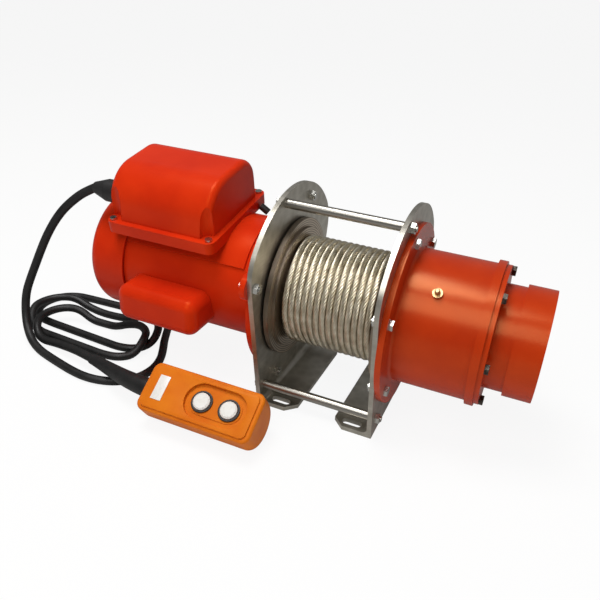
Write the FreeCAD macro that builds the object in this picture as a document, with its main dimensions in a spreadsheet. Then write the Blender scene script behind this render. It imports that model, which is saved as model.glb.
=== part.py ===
import FreeCAD, Part
import Sketcher
import math
import os
import re

# Electric rope winch: motor, planetary gearbox and rope drum between two bent side plates.
# X runs along the drum axis from the motor to the gearbox, Y to the rear and Z up. The origin
# lies on the floor, midway between the side plates and under the drum axis. Lengths are in mm.

SIZES = {
    # Side plates, bent from sheet
    "plate_gap": 124.0,
    "plate_thick": 5.0,
    "ground_clearance": 10.35,
    "plate_margin": 15.0,
    "shoulder_lead": 5.2,
    "shoulder_round": 45.0,
    "foot_half": 73.0,
    "foot_width": 45.0,
    "foot_round": 12.0,
    "bend_radius": 6.0,
    "slot_width": 9.0,
    "slot_length": 22.0,
    "slot_inset": 10.0,
    "pilot_radius": 45.0,
    # Tie rods between the plates
    "rod_radius": 5.0,
    "rod_stud_radius": 3.0,
    "rod_edge": 9.27,
    "top_rod_turn": 77.0,
    "low_rod_inset": 9.0,
    "low_rod_height": 22.0,
    # Bolts and nuts
    "bolt_radius": 3.0,
    "bolt_hole_radius": 3.3,
    "bolt_head_radius": 5.8,
    "bolt_head_height": 4.0,
    "nut_height": 5.0,
    "small_bolt_radius": 3.0,
    "small_hole_radius": 3.3,
    "small_head_radius": 5.5,
    "small_head_height": 4.0,
    # Fits
    "seat_clearance": 0.2,
    "running_clearance": 0.05,
    # Motor
    "motor_radius": 67.0,
    "motor_wall": 4.0,
    "motor_flange_radius": 92.0,
    "motor_flange_thick": 6.0,
    "motor_flange_fillet": 12.0,
    "motor_bolt_circle": 101.0,
    "motor_bolt_start": 22.0,
    "motor_ear_radius": 13.0,
    "bell_length": 19.0,
    "housing_length": 151.0,
    "spigot_length": 5.0,
    "end_bell_thick": 8.0,
    "fan_cover_radius": 71.0,
    "fan_cover_wall": 2.0,
    "fan_cover_length": 49.0,
    "fan_cover_round": 14.0,
    "fan_radius": 58.0,
    "fan_disc_thick": 3.0,
    "fan_hub_radius": 16.0,
    "fan_hub_length": 16.0,
    "fan_blade_thick": 3.0,
    "fan_blade_depth": 12.0,
    "stator_bore": 38.0,
    "stator_length": 90.0,
    "air_gap": 0.6,
    "winding_length": 16.0,
    "shaft_radius": 10.0,
    "quill_radius": 6.0,
    "motor_bearing_radius": 23.5,
    "motor_bearing_width": 14.0,
    "saddle_edge": 32.0,
    "saddle_thick": 2.5,
    "saddle_front_gap": 1.0,
    "saddle_back_gap": 3.0,
    # Control box on the motor
    "box_overhang": 11.5,
    "box_tilt": 9.6,
    "rim_length": 132.7,
    "rim_depth": 127.0,
    "box_sink": 5.6,
    "rim_thick": 9.0,
    "rim_round": 9.0,
    "cover_inset": 6.0,
    "cover_back_inset": 1.5,
    "cover_flange": 4.0,
    "cover_height": 56.0,
    "cover_wall": 3.0,
    "cover_front_round": 42.0,
    "cover_rear_round": 28.0,
    "cover_end_round": 7.0,
    "cover_draft": 11.0,
    "screw_inset": 7.0,
    "screw_scoop": 10.5,
    "screw_head_height": 2.5,
    "plateau_rise": 6.0,
    "gland_rear": -33.3,
    "gland_rise": 32.6,
    "gland_radius": 8.0,
    "gland_length": 32.0,
    "gland_collar": 4.5,
    "gland_collar_length": 14.0,
    "lead_radius": 4.0,
    "lead_inset": 20.5,
    "contactor_length": 44.0,
    "contactor_depth": 36.0,
    "contactor_height": 24.0,
    "contactor_top_depth": 24.0,
    "contactor_top_height": 8.0,
    "contactor_gap": 2.0,
    # Capacitor box on the motor's front
    "capbox_length": 100.0,
    "capbox_inset": 15.0,
    "capbox_front": 103.0,
    "capbox_drop": 38.0,
    "capbox_height": 42.0,
    "capbox_round": 13.0,
    "capbox_wall": 3.0,
    "capacitor_radius": 14.0,
    # Rope drum
    "drum_gap": 2.0,
    "drum_flange_radius": 77.6,
    "drum_flange_thick": 5.0,
    "drum_step_radius": 68.0,
    "drum_step_thick": 3.0,
    "drum_core_radius": 46.0,
    "drum_wall": 6.0,
    "rope_outer_radius": 60.2,
    "rope_turns": 15.0,
    "hub_radius": 29.95,
    "drum_bearing_radius": 42.0,
    "drum_bearing_width": 12.0,
    "hub_length": 24.0,
    "hub_bore": 20.0,
    # Gearbox
    "gear_flange_radius": 97.0,
    "gear_flange_thick": 6.0,
    "gear_flange_fillet": 3.0,
    "gear_bolt_circle": 87.0,
    "gear_bolt_start": 19.5,
    "gearbox_radius": 71.4,
    "gearbox_bore": 62.5,
    "gearbox_length": 91.0,
    "gearbox_lip_radius": 75.0,
    "gearbox_lip": 8.0,
    "end_flange_radius": 72.0,
    "end_flange_thick": 5.0,
    "end_bolt_circle": 64.5,
    "end_neck_radius": 54.0,
    "end_neck_length": 19.0,
    "end_cap_radius": 57.1,
    "end_cap_length": 28.0,
    "end_wall": 6.0,
    "end_bolt_thread": 12.0,
    "nipple_turn": 49.0,
    "nipple_along": 39.0,
    "nipple_radius": 5.0,
    "nipple_height": 9.0,
    # Planetary gears, the same tooth counts in both stages
    "sun_teeth": 12.0,
    "planet_teeth": 18.0,
    "ring_teeth": 48.0,
    "planet_count": 3.0,
    "output_module": 2.0,
    "input_module": 1.75,
    "output_face": 30.0,
    "input_face": 20.0,
    "output_pin_radius": 5.0,
    "input_pin_radius": 4.5,
    "carrier_thick": 8.0,
    "input_carrier_radius": 38.0,
    "gear_side_gap": 4.0,
    "tooth_backlash": 0.2,
    # Push button pendant, propped up beside the winch
    "pendant_length": 131.0,
    "pendant_width": 54.0,
    "pendant_side": 19.3,
    "pendant_round": 9.0,
    "pendant_edge": 3.0,
    "pendant_wall": 3.0,
    "pendant_face": 5.0,
    "pendant_tilt": 34.0,
    "pendant_across": -95.0,
    "pendant_rear": -147.4,
    "button_radius": 9.0,
    "button_proud": 5.0,
    "button_spacing": 31.0,
    "button_middle": 18.5,
    "button_travel": 4.0,
    "recess_radius": 19.0,
    "recess_depth": 2.0,
    "button_step_radius": 13.5,
    "button_step": 0.9,
    "button_gap": 0.3,
    "button_collar": 1.8,
    "button_collar_thick": 3.0,
    "contact_block_margin": 12.0,
    "contact_block_overhang": 15.0,
    "contact_block_gap": 0.3,
    "contact_block_room": 1.0,
    "boot_radius": 11.0,
    # Control cord, with its spare length coiled on the floor
    "cord_radius": 5.0,
    "coil_across": -328.0,
    "coil_rear": -31.0,
    "coil_half_long": 100.0,
    "coil_half_wide": 63.0,
    "coil_band": 40.0,
    "coil_height": 23.0,
}

# Sizes that follow from the others
FOLLOWING = {
    "axis_height": "motor_bolt_circle * cos(motor_bolt_start * 1 deg) + motor_ear_radius + ground_clearance",
    "arch_radius": "motor_bolt_circle + plate_margin",
    "shoulder_height": "axis_height + arch_radius * sin((motor_bolt_start + shoulder_lead) * 1 deg)",
    "top_rod_rear": "-(arch_radius - rod_edge) * cos(top_rod_turn * 1 deg)",
    "top_rod_height": "axis_height + (arch_radius - rod_edge) * sin(top_rod_turn * 1 deg)",
    "low_rod_rear": "foot_half - low_rod_inset",
    "motor_end": "plate_gap / 2 + plate_thick + motor_flange_thick + bell_length + housing_length",
    "box_middle": "rim_length / 2 - motor_end - box_overhang",
    "rim_level": "motor_radius - box_sink",
    "gland_level": "rim_level + gland_rise",
    "lead_rear": "rim_depth / 2 - lead_inset",
    "capbox_middle": "capbox_length / 2 - motor_end + capbox_inset",
    "capbox_low": "axis_height - capbox_drop",
    "capbox_high": "capbox_low + capbox_height",
    "capbox_depth": "capbox_front - capbox_wall - 0.45 * capbox_round",
}

CONTROL_ROUTE = [
    (-285.0, -48.5, 204.1), (-299.2, -51.7, 197.1), (-313.3, -56.0, 186.0), (-326.9, -60.2, 172.7),
    (-339.9, -63.4, 155.6), (-351.0, -66.2, 137.3), (-361.0, -68.4, 118.2), (-370.4, -70.5, 98.8),
    (-379.6, -73.1, 79.4), (-387.2, -76.8, 59.5), (-388.4, -81.6, 38.5), (-380.3, -91.2, 19.6),
    (-363.9, -102.3, 8.5), (-344.3, -110.3, 5.1), (-324.0, -116.0, 5.1), (-303.6, -121.0, 5.1),
    (-282.9, -125.6, 5.1), (-261.5, -128.4, 5.1), (-240.0, -126.1, 5.1), (-220.3, -117.6, 5.1),
    (-206.1, -101.6, 5.1), (-201.0, -80.5, 5.1), (-205.0, -59.6, 5.1), (-214.6, -40.2, 5.1),
    (-226.2, -20.5, 5.1), (-243.5, -5.5, 5.1)]
PENDANT_ROUTE = [
    (-371.5, -80.5, 9.5), (-352.0, -89.8, 8.2), (-330.5, -94.3, 9.8), (-309.0, -97.9, 12.4),
    (-287.3, -102.4, 14.6), (-265.5, -107.9, 16.0)]

PRESSURE_ANGLE = math.radians(25.0)
ADDENDUM = 0.8
DEDENDUM = 1.0

doc = FreeCAD.newDocument("electric_winch")
sheet = doc.addObject("Spreadsheet::Sheet", "sheet")
for row, alias in enumerate(list(SIZES) + list(FOLLOWING), start=1):
    sheet.set("A%d" % row, alias)
    sheet.set("B%d" % row, str(SIZES[alias]) if alias in SIZES else "=" + FOLLOWING[alias])
    sheet.setAlias("B%d" % row, alias)
    doc.recompute()

parts = {}


def bound(text):
    """Expression text with the names of the sizes pointed at the sheet."""
    def link(found):
        word = found.group()
        return "sheet." + word if word in SIZES or word in FOLLOWING else word
    return re.sub(r"[a-z_]+", link, text)


def value(text):
    result = sheet.evalExpression(bound(text))
    return float(getattr(result, "Value", result))


def keep(label, shape_object):
    shape_object.Label = label
    parts[label] = shape_object
    return shape_object


def place(thing, across="0", rear="0", up="0"):
    for axis, text in (("x", across), ("y", rear), ("z", up)):
        thing.setExpression("Placement.Base." + axis, bound(text))


def on_axis(thing):
    place(thing, up="axis_height")
    return thing


# Sketches

def new_body(label, several=False):
    body = doc.addObject("PartDesign::Body", label)
    body.AllowCompound = several
    return body


def origin_feature(body, role):
    return next(item for item in body.Origin.OriginFeatures if item.Role == role)


def new_sketch(body, role, offset=None):
    sketch = body.newObject("Sketcher::SketchObject", "outline")
    sketch.AttachmentSupport = [(origin_feature(body, role), "")]
    sketch.MapMode = "FlatFace"
    if offset:
        sketch.setExpression("AttachmentOffset.Base.z", bound(offset))
    return sketch


def pin(sketch, geometry, point, across, up):
    """Hold a point of a sketch at a place worked out from the sizes."""
    for kind, text, axis in (("DistanceX", across, -2), ("DistanceY", up, -1)):
        size = value(text)
        if abs(size) < 1e-9:
            sketch.addConstraint(Sketcher.Constraint("PointOnObject", geometry, point, axis))
            continue
        ends = [(-1, 1), (geometry, point)]
        if size < 0:
            ends.reverse()
            text = "-(%s)" % text
        index = sketch.addConstraint(Sketcher.Constraint(kind, *ends[0], *ends[1], abs(size)))
        sketch.setExpression("Constraints[%d]" % index, bound(text))


def set_radius(sketch, geometry, radius):
    index = sketch.addConstraint(Sketcher.Constraint("Radius", geometry, value(radius)))
    sketch.setExpression("Constraints[%d]" % index, bound(radius))


def polygon(sketch, points):
    ends = [FreeCAD.Vector(value(across), value(up), 0) for across, up in points]
    first = sketch.GeometryCount
    for here, there in zip(ends, ends[1:] + ends[:1]):
        sketch.addGeometry(Part.LineSegment(here, there), False)
    for number, (across, up) in enumerate(points):
        line = first + number
        before = first + (number - 1) % len(points)
        sketch.addConstraint(Sketcher.Constraint("Coincident", before, 2, line, 1))
        pin(sketch, line, 1, across, up)


def circle(sketch, across, up, radius):
    centre = FreeCAD.Vector(value(across), value(up), 0)
    shape = Part.Circle(centre, FreeCAD.Vector(0, 0, 1), value(radius))
    geometry = sketch.addGeometry(shape, False)
    pin(sketch, geometry, 3, across, up)
    set_radius(sketch, geometry, radius)


def arc_chain(sketch, corners, radius, sweep):
    """Closed outline of equal arcs, given by their centres and first angles, and tangent lines."""
    first = sketch.GeometryCount
    size = value(radius)
    arcs = []
    for across, up, start in corners:
        centre = FreeCAD.Vector(value(across), value(up), 0)
        round_edge = Part.Circle(centre, FreeCAD.Vector(0, 0, 1), size)
        arcs.append(Part.ArcOfCircle(round_edge, math.radians(start), math.radians(start + sweep)))
    for number, arc in enumerate(arcs):
        following = arcs[(number + 1) % len(arcs)]
        sketch.addGeometry(arc, False)
        sketch.addGeometry(Part.LineSegment(arc.EndPoint, following.StartPoint), False)
    count = 2 * len(arcs)
    for number in range(0, count, 2):
        arc = first + number
        before = first + (number - 1) % count
        sketch.addConstraint(Sketcher.Constraint("Tangent", arc, 2, arc + 1, 1))
        sketch.addConstraint(Sketcher.Constraint("Tangent", before, 2, arc, 1))
    for number, (across, up, start) in enumerate(corners):
        pin(sketch, first + 2 * number, 3, across, up)
        set_radius(sketch, first + 2 * number, radius)


def rounded_box(sketch, left, right, low, high, radius):
    near = "(%s)+(%s)"
    far = "(%s)-(%s)"
    arc_chain(sketch, [
        (near % (left, radius), near % (low, radius), 180),
        (far % (right, radius), near % (low, radius), 270),
        (far % (right, radius), far % (high, radius), 0),
        (near % (left, radius), far % (high, radius), 90),
    ], radius, 90)


def slot(sketch, left, right, up, radius):
    """Slot along the sketch's own X axis between two arc centres."""
    arc_chain(sketch, [(left, up, 90), (right, up, -90)], radius, 180)


def half_disc(sketch, across, up, radius):
    """Half disc below a level line through its centre."""
    centre = FreeCAD.Vector(value(across), value(up), 0)
    round_edge = Part.Circle(centre, FreeCAD.Vector(0, 0, 1), value(radius))
    arc = Part.ArcOfCircle(round_edge, math.pi, 2 * math.pi)
    curve = sketch.addGeometry(arc, False)
    line = sketch.addGeometry(Part.LineSegment(arc.EndPoint, arc.StartPoint), False)
    sketch.addConstraint(Sketcher.Constraint("Coincident", curve, 2, line, 1))
    sketch.addConstraint(Sketcher.Constraint("Coincident", line, 2, curve, 1))
    sketch.addConstraint(Sketcher.Constraint("Horizontal", line))
    sketch.addConstraint(Sketcher.Constraint("PointOnObject", curve, 3, line))
    pin(sketch, curve, 3, across, up)
    set_radius(sketch, curve, radius)


# Features

def pad(body, sketch, length, reverse=False, both=False, draft=None):
    feature = body.newObject("PartDesign::Pad", "pad")
    feature.Profile = sketch
    feature.setExpression("Length", bound(length))
    feature.Reversed = reverse
    feature.SideType = "Symmetric" if both else "One side"
    if draft:
        feature.setExpression("TaperAngle", bound(draft))
    doc.recompute()
    return feature


def pocket(body, sketch, length, reverse=False, both=False, draft=None):
    before = body.Shape.Volume
    feature = body.newObject("PartDesign::Pocket", "pocket")
    feature.Profile = sketch
    feature.setExpression("Length", bound(length))
    feature.Reversed = reverse
    feature.SideType = "Symmetric" if both else "One side"
    if draft:
        feature.setExpression("TaperAngle", bound(draft))
    doc.recompute()
    if not body.Shape.Volume < before - 1e-3:
        raise RuntimeError("a pocket of %s cuts nothing" % body.Label)
    return feature


def around(body, features, count, axis="X_Axis"):
    pattern = body.newObject("PartDesign::PolarPattern", "ring")
    pattern.Originals = features
    pattern.Axis = (origin_feature(body, axis), [""])
    pattern.Angle = 360
    pattern.setExpression("Occurrences", bound(count))
    body.Tip = pattern
    doc.recompute()
    return pattern


def fillet(body, base, pick, radius):
    doc.recompute()
    names = ["Edge%d" % number for number, edge in enumerate(base.Shape.Edges, start=1) if pick(edge)]
    if not names:
        raise RuntimeError("no edge to round on %s" % body.Label)
    feature = body.newObject("PartDesign::Fillet", "round")
    feature.Base = (base, names)
    feature.setExpression("Radius", bound(radius))
    doc.recompute()
    return feature


def spin(body, sketch, angle="360"):
    feature = body.newObject("PartDesign::Revolution", "turn")
    feature.Profile = sketch
    feature.ReferenceAxis = (sketch, ["H_Axis"])
    feature.Midplane = True
    feature.setExpression("Angle", bound(angle))
    doc.recompute()
    return feature


def turned(label, *outlines, angle="360"):
    """Piece turned about the drum axis from outlines of (along the axis, radius) points."""
    body = new_body(label, several=len(outlines) > 1)
    sketch = new_sketch(body, "XZ_Plane")
    for points in outlines:
        polygon(sketch, points)
    spin(body, sketch, angle)
    keep(label, on_axis(body))
    return body


def ring(label, left, right, inner, outer):
    return turned(label, [(left, inner), (left, outer), (right, outer), (right, inner)])


def circle_at(radius, degrees):
    """Height-plane coordinates of a point on a circle, measured from the front upwards."""
    angle = "((%s) * 1 deg)" % degrees
    return "-(%s) * cos%s" % (radius, angle), "(%s) * sin%s" % (radius, angle)


# Hexagon bolts and nuts along X, built from primitives

def along_x(thing, across, rear, up):
    turn = FreeCAD.Rotation(FreeCAD.Vector(0, 1, 0), 90)
    thing.Placement = FreeCAD.Placement(FreeCAD.Vector(0, 0, 0), turn)
    place(thing, across, rear, up)
    return thing


def rod(name, across, rear, up, radius, length):
    thing = doc.addObject("Part::Cylinder", name)
    thing.setExpression("Radius", bound(radius))
    thing.setExpression("Height", bound(length))
    return along_x(thing, across, rear, up)


def hexagon(name, across, rear, up, radius, height):
    thing = doc.addObject("Part::Prism", name)
    thing.Polygon = 6
    thing.setExpression("Circumradius", bound(radius))
    thing.setExpression("Height", bound(height))
    return along_x(thing, across, rear, up)


def box(name, corner, sizes):
    thing = doc.addObject("Part::Box", name)
    for side, text in zip(("Length", "Width", "Height"), sizes):
        thing.setExpression(side, bound(text))
    place(thing, *corner)
    return thing


def joined(name, first, second):
    fuse = doc.addObject("Part::Fuse", name)
    fuse.Base = first
    fuse.Tool = second
    return fuse


def less(name, first, second):
    cut = doc.addObject("Part::Cut", name)
    cut.Base = first
    cut.Tool = second
    return cut


def group(label, members):
    compound = doc.addObject("Part::Compound", label)
    compound.Links = members
    return keep(label, compound)


def bolt(face, spot, shank, length, head, height, facing):
    """Hexagon bolt whose head sits on a face across X and whose shank runs the other way."""
    rear, up = spot
    head_start = face if facing > 0 else "(%s)-(%s)" % (face, height)
    shank_start = "(%s)-(%s)" % (face, length) if facing > 0 else face
    top = hexagon("bolt_head", head_start, rear, up, head, height)
    stem = rod("bolt_shank", shank_start, rear, up, shank, length)
    return joined("bolt", top, stem)


def nut(start, spot, radius, height, bore):
    rear, up = spot
    block = hexagon("nut_block", start, rear, up, radius, height)
    hole = rod("nut_bore", start, rear, up, bore, height)
    return less("nut", block, hole)


def bolt_circle(radius, start, count):
    spots = []
    for number in range(count):
        rear, up = circle_at(radius, "%s + %g" % (start, 360.0 / count * number))
        spots.append((rear, "axis_height + " + up))
    return spots


# Gears: straight involute teeth drawn with one point in the middle of each flank

def involute(angle):
    return math.tan(angle) - angle


def tooth_points(teeth, module, radii, thinner, first_angle):
    """Outline of all teeth, each flank through the given radii, with teeth thinned at the pitch circle."""
    pitch = teeth * module / 2
    base = pitch * math.cos(PRESSURE_ANGLE)
    half_pitch = math.pi / (2 * teeth) - thinner / (2 * pitch)

    def half_angle(radius):
        local = math.acos(min(1.0, base / radius))
        return half_pitch + involute(PRESSURE_ANGLE) - involute(local)

    points = []
    for number in range(teeth):
        middle = first_angle + 2 * math.pi * number / teeth
        flank = [(radius, half_angle(radius)) for radius in radii]
        for radius, half in flank:
            points.append((radius, middle - half))
        for radius, half in reversed(flank):
            points.append((radius, middle + half))
    return points


def gear_face(start, points):
    wire = [FreeCAD.Vector(start, radius * math.cos(angle), radius * math.sin(angle))
            for radius, angle in points]
    return Part.Face(Part.makePolygon(wire + wire[:1]))


def disc_face(start, radius):
    edge = Part.makeCircle(radius, FreeCAD.Vector(start, 0, 0), FreeCAD.Vector(1, 0, 0))
    return Part.Face(Part.Wire(edge))


def gear_feature(label, shape, across=0.0, rear=0.0):
    feature = keep(label, doc.addObject("Part::Feature", label))
    feature.Shape = shape
    feature.Placement.Base = FreeCAD.Vector(across, rear, value("axis_height"))
    return feature


def outer_gear(start, length, teeth, module, bore, first_angle):
    pitch = teeth * module / 2
    radii = [pitch - DEDENDUM * module, pitch, pitch + ADDENDUM * module]
    face = gear_face(start, tooth_points(teeth, module, radii, value("tooth_backlash"), first_angle))
    return face.cut(disc_face(start, bore)).extrude(FreeCAD.Vector(length, 0, 0))


def inner_gear(start, length, teeth, module, outside, first_angle):
    """Ring gear: its spaces are the teeth of a gear of the same size."""
    pitch = teeth * module / 2
    radii = [pitch - ADDENDUM * module, pitch, pitch + DEDENDUM * module]
    spaces = gear_face(start, tooth_points(teeth, module, radii, -value("tooth_backlash"), first_angle))
    return disc_face(start, outside).cut(spaces).extrude(FreeCAD.Vector(length, 0, 0))


# Places along the drum axis, as expressions

PLATE_IN = "(plate_gap/2)"
PLATE_OUT = "(plate_gap/2 + plate_thick)"
PILOT_END = "(plate_gap/2 + plate_thick/10)"
FLANGE_BACK = "(plate_gap/2 + plate_thick + motor_flange_thick)"
HOUSING_END = "(plate_gap/2 + plate_thick + motor_flange_thick + bell_length)"
HOUSING_BACK = "(plate_gap/2 + plate_thick + motor_flange_thick + bell_length + housing_length)"
DRUM_FACE = "(plate_gap/2 - drum_gap)"
ROPE_END = "(plate_gap/2 - drum_gap - drum_flange_thick - drum_step_thick)"
HUB_END = "(plate_gap/2 - drum_gap + hub_length)"
OUTPUT_GEAR = HUB_END + " + carrier_thick + gear_side_gap"
INPUT_CARRIER = "(%s + output_face + 2*gear_side_gap + carrier_thick)" % OUTPUT_GEAR
GEARBOX_END = "(plate_gap/2 + plate_thick + gearbox_length)"
INPUT_GEAR = "(%s + gear_side_gap)" % GEARBOX_END
CAP_STEP = GEARBOX_END + " + end_flange_thick + end_neck_length"
CAP_END = "(%s + end_cap_length)" % CAP_STEP


def side_plate(label, side):
    """Side plate with its inward foot. The plate's inner face lies at X = 0 of its body."""
    body = new_body(label)
    outline = new_sketch(body, "YZ_Plane")
    corner = FreeCAD.Vector(value("foot_half"), 0, 0)
    rise = value("shoulder_height") - value("axis_height")
    reach = math.sqrt(value("arch_radius") ** 2 - rise ** 2)
    shoulder = FreeCAD.Vector(reach, value("shoulder_height"), 0)
    mirror = [FreeCAD.Vector(-point.x, point.y, 0) for point in (corner, shoulder)]
    arch = Part.Circle(
        FreeCAD.Vector(0, value("axis_height"), 0), FreeCAD.Vector(0, 0, 1), value("arch_radius"))
    start = math.atan2(rise, reach)
    outline.addGeometry(Part.LineSegment(mirror[0], corner), False)
    outline.addGeometry(Part.LineSegment(corner, shoulder), False)
    outline.addGeometry(Part.ArcOfCircle(arch, start, math.pi - start), False)
    outline.addGeometry(Part.LineSegment(mirror[1], mirror[0]), False)
    for first, second in ((0, 1), (1, 2), (2, 3), (3, 0)):
        outline.addConstraint(Sketcher.Constraint("Coincident", first, 2, second, 1))
    pin(outline, 0, 1, "-foot_half", "0")
    pin(outline, 0, 2, "foot_half", "0")
    pin(outline, 2, 3, "0", "axis_height")
    set_radius(outline, 2, "arch_radius")
    for point in (1, 2):
        index = outline.addConstraint(
            Sketcher.Constraint("DistanceY", -1, 1, 2, point, value("shoulder_height")))
        outline.setExpression("Constraints[%d]" % index, bound("shoulder_height"))
    circle(outline, "0", "axis_height", "pilot_radius")
    for rear, up in rod_spots():
        circle(outline, rear, up, "rod_stud_radius + seat_clearance")
    if side < 0:
        spots = motor_bolt_spots()
    else:
        spots = bolt_circle("gear_bolt_circle", "gear_bolt_start", 6)
    for rear, up in spots:
        circle(outline, rear, up, "bolt_hole_radius")
    sheet_metal = pad(body, outline, "plate_thick", reverse=side < 0)
    level = value("shoulder_height")
    rounded = fillet(body, sheet_metal, lambda edge: is_straight_x(edge)
                     and abs(edge.CenterOfMass.z - level) < 1, "shoulder_round")
    foot = new_sketch(body, "XY_Plane")
    tip = "%g * (foot_width - plate_thick)" % -side
    back = "%g * plate_thick" % side
    inner = "%g * (foot_width - plate_thick - foot_round)" % -side
    deep = "foot_half - foot_round"
    polygon(foot, [(back, "-foot_half"), (inner, "-foot_half"), (tip, "-(%s)" % deep),
                   (tip, deep), (inner, "foot_half"), (back, "foot_half")])
    pad(body, foot, "plate_thick")
    holes = new_sketch(body, "XY_Plane")
    middle = "%g * (foot_width/2 - plate_thick/2)" % -side
    reach = "(slot_length - slot_width)/2"
    for end in ("-", ""):
        slot(holes, "%s - %s" % (middle, reach), "%s + %s" % (middle, reach),
             "%s(foot_half - slot_inset)" % end, "slot_width/2")
    slots = pocket(body, holes, "plate_thick", reverse=True)
    thick = value("plate_thick")
    fillet(body, slots, lambda edge: is_straight_y(edge) and abs(edge.CenterOfMass.x) < 0.01
           and abs(edge.CenterOfMass.z - thick) < 0.01, "bend_radius")
    place(body, across="%g * plate_gap/2" % side)
    return keep(label, body)


def is_straight_x(edge):
    box = edge.BoundBox
    return box.YLength < 0.01 and box.ZLength < 0.01


def is_straight_y(edge):
    box = edge.BoundBox
    return box.XLength < 0.01 and box.ZLength < 0.01


def rod_spots():
    """Tie rods: one over the rope in front, two low ones in front and at the rear."""
    return [("top_rod_rear", "top_rod_height"), ("-low_rod_rear", "low_rod_height"),
            ("low_rod_rear", "low_rod_height")]


def motor_ears():
    """Places of the motor flange's ears about the drum axis: the plate reaches only these three."""
    return [circle_at("motor_bolt_circle", "motor_bolt_start + %d" % turn) for turn in (0, 90, 270)]


def motor_bolt_spots():
    return [(rear, "axis_height + " + up) for rear, up in motor_ears()]


def frame():
    side_plate("motor_side_plate", -1)
    side_plate("gear_side_plate", 1)
    rods = []
    nuts = []
    for rear, up in rod_spots():
        middle = rod("rod_middle", "-plate_gap/2", rear, up, "rod_radius", "plate_gap")
        stud_start = "-(%s) - nut_height - rod_stud_radius/2" % PLATE_OUT
        stud = rod("rod_stud", stud_start, rear, up, "rod_stud_radius", "-2*(%s)" % stud_start)
        rods.append(joined("tie_rod", middle, stud))
        nuts.append(nut("-(%s) - nut_height" % PLATE_OUT, (rear, up), "bolt_head_radius", "nut_height",
                        "rod_stud_radius"))
        nuts.append(nut(PLATE_OUT, (rear, up), "bolt_head_radius", "nut_height", "rod_stud_radius"))
    group("tie_rods", rods)
    group("tie_rod_nuts", nuts)
    bolts = []
    nuts = []
    for spot in motor_bolt_spots():
        length = "motor_flange_thick + plate_thick + nut_height + bolt_radius/2"
        bolts.append(bolt("-(%s)" % FLANGE_BACK, spot, "bolt_radius", length, "bolt_head_radius",
                          "bolt_head_height", -1))
        nuts.append(nut("-(%s)" % PLATE_IN, spot, "bolt_head_radius", "nut_height", "bolt_radius"))
    group("motor_flange_bolts", bolts)
    bolts = []
    for spot in bolt_circle("gear_bolt_circle", "gear_bolt_start", 6):
        length = "gear_flange_thick + plate_thick + nut_height + bolt_radius/2"
        bolts.append(bolt("%s + gear_flange_thick" % PLATE_OUT, spot, "bolt_radius", length,
                          "bolt_head_radius", "bolt_head_height", 1))
        nuts.append(nut("%s - nut_height" % PLATE_IN, spot, "bolt_head_radius", "nut_height", "bolt_radius"))
    group("gear_flange_bolts", bolts)
    group("flange_nuts", nuts)


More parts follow.
